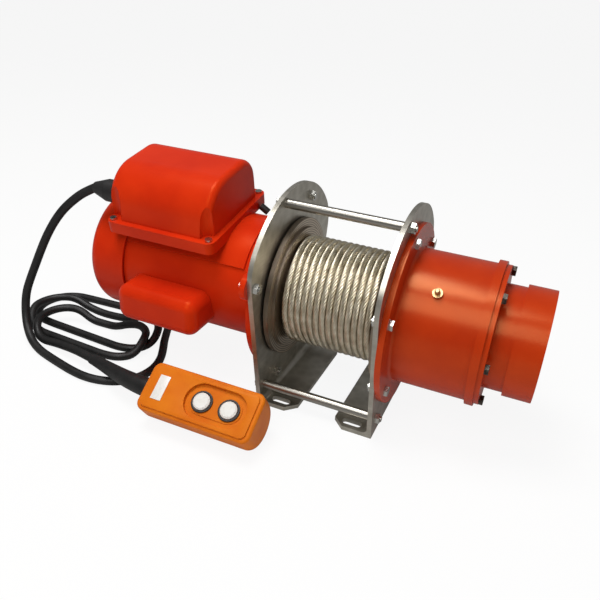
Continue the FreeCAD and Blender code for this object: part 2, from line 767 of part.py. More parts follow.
def motor():
    bore = "(motor_radius - motor_wall)"
    spigot = "(%s - seat_clearance)" % bore
    hollow = "(%s - 6)" % bore
    cage = "(motor_bearing_radius + 4.5)"
    clear = "(shaft_radius + 2)"
    front_seat = "(%s + 1)" % HOUSING_END
    body = turned("motor_flange", [
        ("-(%s - drum_bearing_width - 2)" % DRUM_FACE, clear),
        ("-(%s - drum_bearing_width - 2)" % DRUM_FACE, "hub_radius"),
        ("-" + PILOT_END, "hub_radius"),
        ("-" + PILOT_END, "pilot_radius - seat_clearance"),
        ("-" + PLATE_OUT, "pilot_radius - seat_clearance"),
        ("-" + PLATE_OUT, "motor_flange_radius"),
        ("-" + FLANGE_BACK, "motor_flange_radius"),
        ("-" + FLANGE_BACK, "motor_radius"),
        ("-" + HOUSING_END, "motor_radius"),
        ("-" + HOUSING_END, spigot),
        ("-(%s + spigot_length)" % HOUSING_END, spigot),
        ("-(%s + spigot_length)" % HOUSING_END, hollow),
        ("-(%s - 9)" % HOUSING_END, hollow),
        ("-(%s - 9)" % HOUSING_END, cage),
        ("-" + front_seat, cage),
        ("-" + front_seat, "motor_bearing_radius"),
        ("-(%s - motor_bearing_width)" % front_seat, "motor_bearing_radius"),
        ("-(%s - motor_bearing_width)" % front_seat, clear),
    ])
    back = -value(FLANGE_BACK)
    outside = value("motor_radius")
    fillet(body, body.Tip, lambda edge: on_circle(edge, back, outside), "motor_flange_fillet")
    ears = new_sketch(body, "YZ_Plane", offset="-" + PLATE_OUT)
    for rear, up in motor_ears():
        circle(ears, rear, up, "motor_ear_radius")
        circle(ears, rear, up, "bolt_hole_radius")
    pad(body, ears, "motor_flange_thick", reverse=True)
    turned("motor_housing", [
        ("-" + HOUSING_END, bore), ("-" + HOUSING_END, "motor_radius"),
        ("-" + HOUSING_BACK, "motor_radius"), ("-" + HOUSING_BACK, bore)])
    rim = "(fan_cover_radius - fan_cover_wall - seat_clearance)"
    rear_seat = "(%s + end_bell_thick - 2)" % HOUSING_BACK
    turned("motor_end_bell", [
        ("-(%s + end_bell_thick)" % HOUSING_BACK, clear),
        ("-(%s + end_bell_thick)" % HOUSING_BACK, rim),
        ("-" + HOUSING_BACK, rim),
        ("-" + HOUSING_BACK, spigot),
        ("-(%s - spigot_length)" % HOUSING_BACK, spigot),
        ("-(%s - spigot_length)" % HOUSING_BACK, hollow),
        ("-(%s + 2)" % HOUSING_BACK, hollow),
        ("-(%s + 2)" % HOUSING_BACK, cage),
        ("-(%s - motor_bearing_width)" % rear_seat, cage),
        ("-(%s - motor_bearing_width)" % rear_seat, "motor_bearing_radius"),
        ("-" + rear_seat, "motor_bearing_radius"),
        ("-" + rear_seat, clear),
    ])
    bearing_bore = "shaft_radius + running_clearance"
    bearings = []
    for seat in (front_seat, rear_seat):
        near = "-(%s - motor_bearing_width)" % seat
        far = "-" + seat
        bearings.append([(near, bearing_bore), (near, "motor_bearing_radius"),
                         (far, "motor_bearing_radius"), (far, bearing_bore)])
    turned("motor_bearings", *bearings)
    fan_cover()
    middle = "(%s + housing_length/2)" % HOUSING_END
    core_near = "-(%s - stator_length/2)" % middle
    core_far = "-(%s + stator_length/2)" % middle
    ring("stator_core", core_far, core_near, "stator_bore", spigot)
    winding = ("stator_bore + 4", "motor_radius - motor_wall - 6")
    coils = []
    spans = ((core_near, core_near + " + winding_length"), (core_far + " - winding_length", core_far))
    for near, far in spans:
        coils.append([(near, winding[0]), (near, winding[1]), (far, winding[1]), (far, winding[0])])
    turned("stator_windings", *coils)
    ring("rotor_core", core_far, core_near, "shaft_radius", "stator_bore - air_gap")
    shaft_step = "-(%s - motor_bearing_width - 5)" % front_seat
    tail = "-(%s + end_bell_thick + 2)" % HOUSING_BACK
    turned("drive_shaft", [
        (tail + " - 26", "0"), (tail + " - 26", "shaft_radius - 2"), (tail, "shaft_radius - 2"),
        (tail, "shaft_radius"), (shaft_step, "shaft_radius"), (shaft_step, "quill_radius"),
        (CAP_END + " - end_wall - 4", "quill_radius"), (CAP_END + " - end_wall - 4", "0")])
    cooling_fan(tail)
    turned("motor_saddle", [
        ("-(%s + saddle_front_gap)" % HOUSING_END, "motor_radius + seat_clearance"),
        ("-(%s + saddle_front_gap)" % HOUSING_END, "motor_radius + saddle_thick"),
        ("-(%s - saddle_back_gap)" % HOUSING_BACK, "motor_radius + saddle_thick"),
        ("-(%s - saddle_back_gap)" % HOUSING_BACK, "motor_radius + seat_clearance"),
    ], angle="180 - 2*saddle_edge")


def fan_cover():
    """Cowl over the fan with a ring of air slots in its end."""
    front = "-(%s - 2)" % HOUSING_BACK
    end = front + " - fan_cover_length"
    inside = end + " + fan_cover_wall"
    bore = "fan_cover_radius - fan_cover_wall"
    body = turned("fan_cover", [
        (front, bore), (front, "fan_cover_radius"), (end, "fan_cover_radius"), (end, "0"), (inside, "0"),
        (inside, bore)])
    outside = value("fan_cover_radius")
    wall = value(bore)
    rounded = fillet(body, body.Tip, lambda edge: on_circle(edge, value(end), outside), "fan_cover_round")
    fillet(body, rounded, lambda edge: on_circle(edge, value(inside), wall),
           "fan_cover_round - fan_cover_wall")
    air = new_sketch(body, "YZ_Plane", offset=end + " - 1")
    slot(air, "20", "fan_cover_radius - fan_cover_round - 6", "0", "3")
    opening = pocket(body, air, "fan_cover_wall + 2", reverse=True)
    around(body, [opening], "12")


def on_circle(edge, across, radius):
    box = edge.BoundBox
    return box.XLength < 0.01 and abs(box.XMin - across) < 0.01 and abs(box.YMax - radius) < 0.01


def cooling_fan(tail):
    """Radial fan with straight blades on the shaft's tail."""
    hub = tail + " - 5"
    body = turned("cooling_fan", [
        (hub, "shaft_radius - 2"), (hub, "fan_radius"), (hub + " - fan_disc_thick", "fan_radius"),
        (hub + " - fan_disc_thick", "fan_hub_radius + 2"), (hub + " - fan_hub_length", "fan_hub_radius"),
        (hub + " - fan_hub_length", "shaft_radius - 2")])
    blade = new_sketch(body, "YZ_Plane", offset=hub + " - fan_disc_thick")
    root = "fan_hub_radius + 1"
    tip = "fan_radius - 1"
    half = "fan_blade_thick/2"
    polygon(blade, [(root, "-" + half), (tip, "-" + half), (tip, half), (root, half)])
    vane = pad(body, blade, "fan_blade_depth", reverse=True)
    around(body, [vane], "8")


def box_place(thing):
    """Put a piece drawn about the motor's axis where the control box leans to the front."""
    turn = FreeCAD.Rotation(FreeCAD.Vector(1, 0, 0), value("box_tilt"))
    thing.Placement = FreeCAD.Placement(FreeCAD.Vector(0, 0, 0), turn)
    place(thing, up="axis_height")
    thing.setExpression("Placement.Rotation.Angle", bound("box_tilt * 1 deg"))
    return thing


def held(label, piece):
    holder = doc.addObject("Part::Compound", label)
    holder.Links = [piece]
    return holder


def loaf(body, left, right, half_depth, low, high, wall):
    """Loaf along X with drafted front and rear and round shoulders, a wall's width inside the outer one."""
    lean = "(%s - (%s))*tan(cover_draft*1 deg)" % (high, low)
    half = "(%s - %s)" % (half_depth, wall)
    crest = "(%s - %s)" % (half, lean)
    outline = new_sketch(body, "YZ_Plane", offset="%s + %s" % (left, wall))
    polygon(outline, [("-" + half, low), (half, low), (crest, high), ("-" + crest, high)])
    feature = pad(body, outline, "%s - (%s) - 2*%s" % (right, left, wall))
    for side, radius in ((-1, "cover_front_round"), (1, "cover_rear_round")):
        across = side * value(crest)
        feature = fillet(body, feature, lambda edge: is_straight_x(edge)
                         and abs(edge.CenterOfMass.y - across) < 0.01, "%s - %s" % (radius, wall))
    return feature


def motor_space(left):
    """Room for the motor's saddle and the fan cover under the control box."""
    length = "rim_length + 10"
    start = left + " - 5"
    reach = "motor_radius + saddle_thick + seat_clearance"
    saddle = rod("saddle_space", start, "0", "0", reach, length)
    cowl = rod("cowl_space", start, "0", "0", "fan_cover_radius + seat_clearance", "box_overhang + 8")
    return joined("motor_space", saddle, cowl)


def control_box():
    """Base on the saddle, loaf-shaped cover with scooped corners, screws and what it holds."""
    left = "box_middle - rim_length/2"
    right = "box_middle + rim_length/2"
    depth = "rim_depth/2"
    top = "rim_level + rim_thick"
    screw_spots = []
    for across in (left + " + screw_inset", right + " - screw_inset"):
        for rear in ("-%s + screw_inset" % depth, depth + " - screw_inset"):
            screw_spots.append((across, rear))
    post = "screw_scoop + cover_wall"

    base = new_body("control_base_block")
    rim = new_sketch(base, "XY_Plane", offset="rim_level")
    rounded_box(rim, left, right, "-" + depth, depth, "rim_round")
    pad(base, rim, "rim_thick")
    plateau = new_sketch(base, "XY_Plane", offset=top)
    inset = "(cover_inset + cover_wall + plateau_rise*tan(cover_draft*1 deg) + 1)"
    plateau_round = "((%s + 1 - (%s - screw_inset)*sqrt(2))/(sqrt(2) - 1))" % (post, inset)
    rounded_box(plateau, "%s + %s" % (left, inset), "%s - %s" % (right, inset),
                "-%s + %s" % (depth, inset), "%s - %s" % (depth, inset), plateau_round)
    pad(base, plateau, "plateau_rise")
    keep("control_base", box_place(held("control_base", less("control_base_cut", base, motor_space(left)))))

    cover_left = left + " + cover_back_inset"
    cover_right = right + " - cover_inset"
    seat = top + " + cover_flange"
    cover = new_body("control_cover_block")
    flange = new_sketch(cover, "XY_Plane", offset=top)
    rounded_box(flange, left, right, "-" + depth, depth, "rim_round")
    pad(cover, flange, "cover_flange")
    dome = loaf(cover, cover_left, cover_right, depth + " - cover_inset", top, top + " + cover_height", "0")
    ends = (value(cover_left), value(cover_right))
    foot = value(seat)
    fillet(cover, dome, lambda edge: edge.BoundBox.XLength < 0.01 and edge.BoundBox.ZMax > foot + 0.5
           and min(abs(edge.BoundBox.XMin - end) for end in ends) < 0.01, "cover_end_round")
    scoops = new_sketch(cover, "XY_Plane", offset=seat)
    for across, rear in screw_spots:
        circle(scoops, across, rear, "screw_scoop")
    pocket(cover, scoops, "cover_height", reverse=True)
    entry = new_sketch(cover, "YZ_Plane", offset=left)
    circle(entry, "gland_rear", "gland_level", "gland_radius + seat_clearance")
    pocket(cover, entry, "cover_back_inset + cover_wall + 6", reverse=True)
    hollow = new_body("control_cover_hollow")
    loaf(hollow, cover_left, cover_right, depth + " - cover_inset", top + " - 1",
         top + " + cover_height - cover_wall", "cover_wall")
    posts = new_sketch(hollow, "XY_Plane", offset=top + " - 1")
    for across, rear in screw_spots:
        circle(posts, across, rear, post)
    pocket(hollow, posts, "cover_height", reverse=True)
    shell = less("control_cover_shell", cover, hollow)
    cut_shell = less("control_cover_cut", shell, motor_space(left))
    keep("control_cover", box_place(held("control_cover", cut_shell)))

    screws = []
    for across, rear in screw_spots:
        head = doc.addObject("Part::Cylinder", "screw_head")
        head.setExpression("Radius", bound("small_bolt_radius + 0.8"))
        head.setExpression("Height", bound("screw_head_height"))
        place(head, across, rear, seat)
        screws.append(head)
    box_place(group("control_cover_screws", screws))

    blocks = []
    floor = top + " + plateau_rise"
    start = "box_middle - contactor_length/2"
    step = "(contactor_depth - contactor_top_depth)/2"
    for rear in ("-contactor_gap - contactor_depth", "contactor_gap"):
        block = box("contactor_block", (start, rear, floor),
                    ("contactor_length", "contactor_depth", "contactor_height"))
        lid = box("contactor_top", (start, "%s + %s" % (rear, step), floor + " + contactor_height"),
                  ("contactor_length", "contactor_top_depth", "contactor_top_height"))
        blocks.append(joined("contactor", block, lid))
    box_place(group("contactors", blocks))

    gland = new_body("cord_gland_body")
    profile = new_sketch(gland, "XZ_Plane")
    collar = "gland_radius + gland_collar"
    tip = cover_left + " - gland_length"
    polygon(profile, [
        (cover_left + " + 10", "0"), (cover_left + " + 10", "gland_radius"), (cover_left, "gland_radius"),
        (cover_left, collar), (cover_left + " - gland_collar_length", collar), (tip, "cord_radius + 1.5"),
        (tip, "0")])
    spin(gland, profile)
    place(gland, rear="gland_rear", up="gland_level")
    keep("cord_gland", box_place(held("cord_gland", gland)))


def capacitor_box():
    left = "capbox_middle - capbox_length/2"
    right = "capbox_middle + capbox_length/2"
    shell = new_body("capacitor_shell")
    outline = new_sketch(shell, "XZ_Plane")
    rounded_box(outline, left, right, "capbox_low", "capbox_high", "capbox_round")
    block = pad(shell, outline, "capbox_front")
    front = -value("capbox_front")
    fillet(shell, block, lambda edge: abs(edge.BoundBox.YMax - front) < 0.01, "capbox_round - 1")
    cavity = new_sketch(shell, "XZ_Plane")
    rounded_box(cavity, left + " + capbox_wall", right + " - capbox_wall", "capbox_low + capbox_wall",
                "capbox_high - capbox_wall", "capbox_round - capbox_wall")
    pocket(shell, cavity, "capbox_depth", reverse=True)
    space = rod("motor_side", left + " - 5", "0", "axis_height", "motor_radius + seat_clearance",
                "capbox_length + 10")
    keep("capacitor_cover", less("capacitor_cover", shell, space))
    can_height = "(capbox_low + capbox_high)/2"
    can_rear = "-(capbox_depth - capacitor_radius - seat_clearance)"
    keep("run_capacitor", rod("run_capacitor", left + " + capbox_wall + 6", can_rear, can_height,
                              "capacitor_radius", "capbox_length - 2*capbox_wall - 12"))


def drum():
    bearing = "drum_bearing_radius + running_clearance"
    inner = "drum_core_radius - drum_wall"
    flange = "(%s - drum_flange_thick)" % DRUM_FACE
    seat = "(%s - drum_bearing_width - 4)" % DRUM_FACE
    turned("drum", [
        ("-" + DRUM_FACE, bearing), ("-" + DRUM_FACE, "drum_flange_radius"),
        ("-" + flange, "drum_flange_radius"), ("-" + flange, "drum_step_radius"),
        ("-" + ROPE_END, "drum_step_radius"), ("-" + ROPE_END, "drum_core_radius"),
        (ROPE_END, "drum_core_radius"), (ROPE_END, "drum_step_radius"),
        (flange, "drum_step_radius"), (flange, "drum_flange_radius"),
        (DRUM_FACE, "drum_flange_radius"), (DRUM_FACE, "hub_radius"),
        (HUB_END, "hub_radius"), (HUB_END, "hub_bore"),
        (seat, "hub_bore"), (seat, inner), ("-" + seat, inner), ("-" + seat, bearing)])
    wound_rope()
    left = "-(%s - 2)" % DRUM_FACE
    right = "(%s + 1)" % PILOT_END
    outlines = []
    for start in (left, right):
        end = start + " + drum_bearing_width"
        outlines.append([(start, "hub_radius + running_clearance"), (start, "drum_bearing_radius"),
                         (end, "drum_bearing_radius"), (end, "hub_radius + running_clearance")])
    turned("drum_bearings", *outlines)


def wound_rope():
    """Rope on the drum as one ribbed ring, a rib to each turn."""
    start = "-%s + seat_clearance" % ROPE_END
    pitch = "2*(%s - seat_clearance)/rope_turns" % ROPE_END
    inside = "drum_core_radius + seat_clearance"
    rib = ((0.0, 0.44), (0.22, 0.11), (0.5, 0.0), (0.78, 0.11))
    points = [(start, inside)]
    turns = int(value("rope_turns"))
    for number in range(turns):
        for share, sink in rib:
            along = "%s + %g*%s" % (start, number + share, pitch)
            points.append((along, "rope_outer_radius - %g*%s" % (sink, pitch)))
    end = "%s + %d*%s" % (start, turns, pitch)
    points.append((end, "rope_outer_radius - %g*%s" % (rib[0][1], pitch)))
    points.append((end, inside))
    turned("rope_winding", points)


def planet_circle(module):
    return (value("sun_teeth") + value("planet_teeth")) * value(module) / 2


def carrier(label, pins_label, start, radius, module, pin_radius, reach, hub=None, bore="quill_radius + 1"):
    """Carrier plate with its planet pins, which stand towards the planets."""
    plate = [(start, bore), (start, radius), (start + " + carrier_thick", radius),
             (start + " + carrier_thick", bore)]
    if hub:
        plate = [(hub[0], bore), (hub[0], hub[1]), (start, hub[1])] + plate[1:]
    body = turned(label, plate)
    seats = new_sketch(body, "YZ_Plane", offset=start)
    distance = "(sun_teeth + planet_teeth)*%s/2" % module
    circle(seats, distance, "0", pin_radius + " + seat_clearance/10")
    hole = pocket(body, seats, "carrier_thick", reverse=True)
    around(body, [hole], "planet_count")
    pins = new_body(pins_label, several=True)
    profile = new_sketch(pins, "YZ_Plane", offset=start)
    circle(profile, distance, "0", pin_radius)
    stem = pad(pins, profile, reach)
    around(pins, [stem], "planet_count")
    keep(pins_label, on_axis(pins))


def gear_train():
    count = int(value("planet_count"))
    teeth = {name: int(value(name + "_teeth")) for name in ("sun", "planet", "ring")}
    half_tooth = math.pi / teeth["sun"]
    stages = (
        ("stage_two", OUTPUT_GEAR, "output_face", "output_module", "output_pin_radius", "gearbox_bore"),
        ("stage_one", INPUT_GEAR, "input_face", "input_module", "input_pin_radius", "end_neck_radius - 3.8"),
    )
    for stage, start_text, face_text, module_text, pin_text, seat_text in stages:
        start = value(start_text)
        face = value(face_text)
        module = value(module_text)
        outside = value(seat_text + " - seat_clearance")
        ring_shape = inner_gear(start - 1, face + 2, teeth["ring"], module, outside, 0.0)
        gear_feature(stage + "_ring_gear", ring_shape)
        bore = value("quill_radius + seat_clearance/10")
        length = face
        if stage == "stage_two":
            bore = value("quill_radius + 0.4")
            length = value(INPUT_CARRIER) - value("carrier_thick") - start
        gear_feature(stage + "_sun", outer_gear(start, length, teeth["sun"], module, bore, half_tooth))
        distance = planet_circle(module_text)
        pin_bore = value(pin_text + " + running_clearance")
        for number, letter in zip(range(count), "abcdef"):
            angle = 2 * math.pi * number / count
            shape = outer_gear(start, face, teeth["planet"], module, pin_bore, angle)
            planet = gear_feature("%s_planet_%s" % (stage, letter), shape)
            planet.Placement.Base = FreeCAD.Vector(
                0, distance * math.cos(angle), value("axis_height") + distance * math.sin(angle))
    carrier("stage_two_carrier", "stage_two_pins", HUB_END, "drum_bearing_radius", "output_module",
            "output_pin_radius", "carrier_thick + 2*gear_side_gap + output_face",
            hub=("%s - hub_length - 10" % HUB_END, "hub_bore - running_clearance"))
    carrier("stage_one_carrier", "stage_one_pins", "%s - carrier_thick" % INPUT_CARRIER,
            "input_carrier_radius", "input_module", "input_pin_radius",
            "%s + input_face + 2 - (%s) + carrier_thick" % (INPUT_GEAR, INPUT_CARRIER),
            bore="quill_radius + running_clearance")


def gearbox():
    body = turned("gear_housing", [
        (PILOT_END, "drum_bearing_radius"), (PILOT_END, "pilot_radius - seat_clearance"),
        (PLATE_OUT, "pilot_radius - seat_clearance"), (PLATE_OUT, "gear_flange_radius"),
        (PLATE_OUT + " + gear_flange_thick", "gear_flange_radius"),
        (PLATE_OUT + " + gear_flange_thick", "gearbox_radius"),
        (GEARBOX_END + " - gearbox_lip", "gearbox_radius"),
        (GEARBOX_END + " - gearbox_lip", "gearbox_lip_radius"),
        (GEARBOX_END, "gearbox_lip_radius"), (GEARBOX_END, "gearbox_bore"),
        (HUB_END + " - 2", "gearbox_bore"), (HUB_END + " - 2", "drum_bearing_radius")])
    back = value(PLATE_OUT + " + gear_flange_thick")
    outside = value("gearbox_radius")
    fillet(body, body.Tip, lambda edge: on_circle(edge, back, outside), "gear_flange_fillet")
    holes = new_sketch(body, "YZ_Plane", offset=PLATE_OUT)
    rear, up = circle_at("gear_bolt_circle", "gear_bolt_start")
    circle(holes, rear, up, "bolt_hole_radius")
    hole = pocket(body, holes, "gear_flange_thick", reverse=True)
    around(body, [hole], "6")
    threads = new_sketch(body, "YZ_Plane", offset=GEARBOX_END + " - end_bolt_thread - 4")
    rear, up = circle_at("end_bolt_circle + 2.5", "0")
    circle(threads, rear, up, "small_hole_radius")
    tapped = pocket(body, threads, "end_bolt_thread + 4", reverse=True)
    around(body, [tapped], "6")

    cap_bore = "end_neck_radius - 3.8"
    cap_inside = "end_neck_radius - 8"
    boss = CAP_END + " - end_wall - 14"
    seat_end = "%s + input_face + 2" % INPUT_GEAR
    cap = turned("end_housing", [
        (GEARBOX_END, cap_bore), (GEARBOX_END, "end_flange_radius"),
        (GEARBOX_END + " + end_flange_thick", "end_flange_radius"),
        (GEARBOX_END + " + end_flange_thick", "end_neck_radius"), (CAP_STEP, "end_neck_radius"),
        (CAP_STEP, "end_cap_radius"), (CAP_END, "end_cap_radius"), (CAP_END, "0"),
        (CAP_END + " - end_wall", "0"), (CAP_END + " - end_wall", "shaft_radius"), (boss, "shaft_radius"),
        (boss, "shaft_radius + 6"), (CAP_END + " - end_wall", "shaft_radius + 6"),
        (CAP_END + " - end_wall", cap_inside), (seat_end, cap_inside), (seat_end, cap_bore)])
    ears = new_sketch(cap, "YZ_Plane", offset=GEARBOX_END)
    circle(ears, rear, up, "small_hole_radius")
    passing = pocket(cap, ears, "end_flange_thick", reverse=True)
    around(cap, [passing], "6")
    bolts = []
    for spot in bolt_circle("end_bolt_circle + 2.5", "0", 6):
        bolts.append(bolt(GEARBOX_END + " + end_flange_thick", spot, "small_bolt_radius",
                          "end_flange_thick + end_bolt_thread", "small_head_radius", "small_head_height", 1))
    group("end_housing_bolts", bolts)
    ring("shaft_end_bush", boss, "%s - end_wall - 2" % CAP_END, "quill_radius + running_clearance",
         "shaft_radius - running_clearance")
    nipple = new_body("grease_nipple")
    profile = new_sketch(nipple, "XZ_Plane")
    foot = "gearbox_radius + seat_clearance"
    collar = "gearbox_radius + nipple_height/3"
    neck = "gearbox_radius + 0.9*nipple_height"
    tip = "gearbox_radius + nipple_height"
    polygon(profile, [
        (foot, "0"), (foot, "nipple_radius"), (collar, "nipple_radius"), (collar, "0.6*nipple_radius"),
        (neck, "0.5*nipple_radius"), (tip, "0.32*nipple_radius"), (tip, "0")])
    spin(nipple, profile)
    turn = FreeCAD.Rotation(FreeCAD.Vector(1, 0, 0), -value("nipple_turn")) * FreeCAD.Rotation(
        FreeCAD.Vector(0, 0, 1), -90)
    nipple.Placement = FreeCAD.Placement(FreeCAD.Vector(0, 0, 0), turn)
    place(nipple, across=PLATE_OUT + " + nipple_along", up="axis_height")
    keep("grease_nipple", nipple)


def pendant_place(thing):
    """Put a piece drawn in the pendant's own frame, its face at Z = 0, where the pendant leans."""
    tilt = value("pendant_tilt")
    height = "pendant_width/2 + pendant_side*cos(pendant_tilt*1 deg)"
    thing.Placement = FreeCAD.Placement(
        FreeCAD.Vector(0, 0, 0), FreeCAD.Rotation(FreeCAD.Vector(1, 0, 0), tilt))
    place(thing, "pendant_across", "pendant_rear", height)
    thing.setExpression("Placement.Rotation.Angle", bound("pendant_tilt * 1 deg"))
    return thing


def pendant():
    """Two moulded shells: a flat face with a recess for the buttons and a round back."""
    half_long = "pendant_length/2"
    half_wide = "pendant_width/2"
    upper = new_body("pendant_upper_shell")
    outline = new_sketch(upper, "XY_Plane")
    rounded_box(outline, "-" + half_long, half_long, "-" + half_wide, half_wide, "pendant_round")
    block = pad(upper, outline, "pendant_side", reverse=True)
    fillet(upper, block, lambda edge: abs(edge.BoundBox.ZMin) < 0.01, "pendant_edge")
    recess = new_sketch(upper, "XY_Plane")
    near = "button_middle - button_spacing/2"
    far = "button_middle + button_spacing/2"
    slot(recess, near, far, "0", "recess_radius")
    pocket(upper, recess, "recess_depth")
    ledge = new_sketch(upper, "XY_Plane", offset="-recess_depth")
    slot(ledge, near, far, "0", "button_step_radius")
    pad(upper, ledge, "button_step")
    cavity = new_sketch(upper, "XY_Plane", offset="-pendant_face")
    rounded_box(cavity, "-%s + pendant_wall" % half_long, half_long + " - pendant_wall",
                "-%s + pendant_wall" % half_wide, half_wide + " - pendant_wall",
                "pendant_round - pendant_wall")
    pocket(upper, cavity, "pendant_side - pendant_face")
    holes = new_sketch(upper, "XY_Plane")
    for across in (near, far):
        circle(holes, across, "0", "button_radius + button_gap")
    pocket(upper, holes, "pendant_face")
    keep("pendant_upper_shell", pendant_place(upper))

    lower = new_body("pendant_lower_shell")
    back = new_sketch(lower, "YZ_Plane")
    half_disc(back, "0", "-pendant_side", half_wide)
    block = pad(lower, back, "pendant_length", both=True)
    ends = fillet(lower, block, lambda edge: edge.BoundBox.XLength < 0.01 and edge.BoundBox.ZLength > 5,
                  "pendant_round")
    hollow = new_sketch(lower, "YZ_Plane")
    half_disc(hollow, "0", "-pendant_side", half_wide + " - pendant_wall")
    pocket(lower, hollow, "pendant_length - 2*pendant_round", both=True)
    keep("pendant_lower_shell", pendant_place(lower))

    block = doc.addObject("Part::Box", "pendant_contact_block")
    width = "pendant_width - 2*contact_block_margin"
    depth = "sqrt((pendant_width/2 - pendant_wall)^2 - (%s)^2/4)" % width
    floor = "pendant_side + %s - contact_block_gap" % depth
    ceiling = "(pendant_face + button_collar_thick + button_travel + contact_block_room)"
    block.setExpression("Length", bound("button_spacing + 2*contact_block_overhang"))
    block.setExpression("Width", bound(width))
    block.setExpression("Height", bound("%s - %s" % (floor, ceiling)))
    carried = doc.addObject("Part::Compound", "pendant_contact_block")
    place(block, "button_middle - button_spacing/2 - contact_block_overhang", "-(%s)/2" % width,
          "-(%s)" % floor)
    carried.Links = [block]
    keep("pendant_contact_block", pendant_place(carried))

    for label, across in (("button_up", near), ("button_down", far)):
        button = new_body(label)
        profile = new_sketch(button, "XZ_Plane")
        proud = "button_proud - recess_depth"
        polygon(profile, [
            ("-pendant_face - button_collar_thick", "0"),
            ("-pendant_face - button_collar_thick", "button_radius + button_collar"),
            ("-pendant_face - button_gap", "button_radius + button_collar"),
            ("-pendant_face - button_gap", "button_radius"),
            (proud + " - 1.2", "button_radius"), (proud, "button_radius - 1.6"), (proud, "0")])
        spin(button, profile)
        carried = doc.addObject("Part::Compound", label)
        turn = FreeCAD.Rotation(FreeCAD.Vector(0, 1, 0), -90)
        button.Placement = FreeCAD.Placement(FreeCAD.Vector(0, 0, 0), turn)
        place(button, across=across)
        carried.Links = [button]
        keep(label, pendant_place(carried))


# Cords: straight runs joined by tangent arcs

def cord_path(points, label):
    """Wire through the points, with each corner rounded as far as its two runs allow."""
    spots = [FreeCAD.Vector(*point) for point in points]
    edges = []
    radii = []
    here = spots[0]
    for before, corner, after in zip(spots, spots[1:], spots[2:]):
        into = (corner - before).normalize()
        out = (after - corner).normalize()
        turn = into.getAngle(out)
        trim = 0.45 * min((corner - before).Length, (after - corner).Length)
        radii.append(trim / math.tan(turn / 2))
        start = corner - into * trim
        end = corner + out * trim
        inward = (out - into).normalize()
        middle = corner + inward * (radii[-1] / math.cos(turn / 2) - radii[-1])
        edges.append(Part.LineSegment(here, start).toShape())
        edges.append(Part.Arc(start, middle, end).toShape())
        here = end
    edges.append(Part.LineSegment(here, spots[-1]).toShape())
    print("%s radii" % label, [round(radius) for radius in radii])
    return Part.Wire(edges)


def cord(label, points, radius):
    path = cord_path(points, label)
    start = FreeCAD.Vector(*points[0])
    heading = FreeCAD.Vector(*points[1]) - start
    section = Part.Wire(Part.makeCircle(radius, start, heading))
    tube = path.makePipeShell([section], True, False)
    expected = math.pi * radius ** 2 * path.Length
    share = tube.Volume / expected
    print("%s length %.0f, volume against section times length %.4f" % (label, path.Length, share))
    feature = keep(label, doc.addObject("Part::Feature", label))
    feature.Shape = tube
    return feature


def from_box(across, rear, up):
    """Point given about the motor's axis in the leaning control box, in the winch's frame."""
    lean = FreeCAD.Rotation(FreeCAD.Vector(1, 0, 0), value("box_tilt"))
    return lean.multVec(FreeCAD.Vector(across, rear, up)) + FreeCAD.Vector(0, 0, value("axis_height"))


def hung_route():
    """Control cord's points, drawn up to the gland's tip and laid on the floor by the cord's radius."""
    across = value("box_middle - rim_length/2 + cover_back_inset - gland_length")
    tip = from_box(across, value("gland_rear"), value("gland_level"))
    print("control cord leaves the gland at %.2f %.2f %.2f" % tuple(tip))
    drawn = CONTROL_ROUTE[0]
    floor = CONTROL_ROUTE[-1][2]
    lift = value("cord_radius") + 0.1 - floor
    points = []
    for point in CONTROL_ROUTE:
        share = (point[2] - floor) / (drawn[2] - floor)
        shift = [(now - then) * share for now, then in zip(tip, drawn)]
        shift[2] += lift * (1 - share)
        points.append(tuple(start + move for start, move in zip(point, shift)))
    return points


def lead_route():
    """Short lead that drops from the end of the control box's base to the motor's saddle."""
    radius = value("lead_radius")
    rear = value("lead_rear")
    start = value("box_middle + rim_length/2") + 0.55 * radius
    high = value("rim_level + rim_thick/2")
    low = math.sqrt(value("motor_radius + saddle_thick") ** 2 - rear ** 2) + 1.22 * radius
    drop = high - low
    steps = ((0.0, 0.0), (0.8, 0.53), (1.45, 1.0))
    return [tuple(from_box(start + drop * along, rear, high - drop * down)) for along, down in steps]


def cords():
    radius = value("cord_radius")
    cord("control_cord", hung_route(), radius)
    cord("pendant_cord", PENDANT_ROUTE, radius)
    cord("motor_lead", lead_route(), value("lead_radius"))
    long_half = value("coil_half_long")
    wide_half = value("coil_half_wide")
    band = value("coil_band")
    rings = []
    for inset in (0.0, band):
        edge = Part.Ellipse(FreeCAD.Vector(0, 0, 0), long_half - inset, wide_half - inset).toShape()
        rings.append(Part.Face(Part.Wire(edge)))
    coil = keep("cord_coil", doc.addObject("Part::Feature", "cord_coil"))
    coil.Shape = rings[0].cut(rings[1]).extrude(FreeCAD.Vector(0, 0, value("coil_height")))
    coil.Placement.Base = FreeCAD.Vector(value("coil_across"), value("coil_rear"), 0)
    cord_boot()


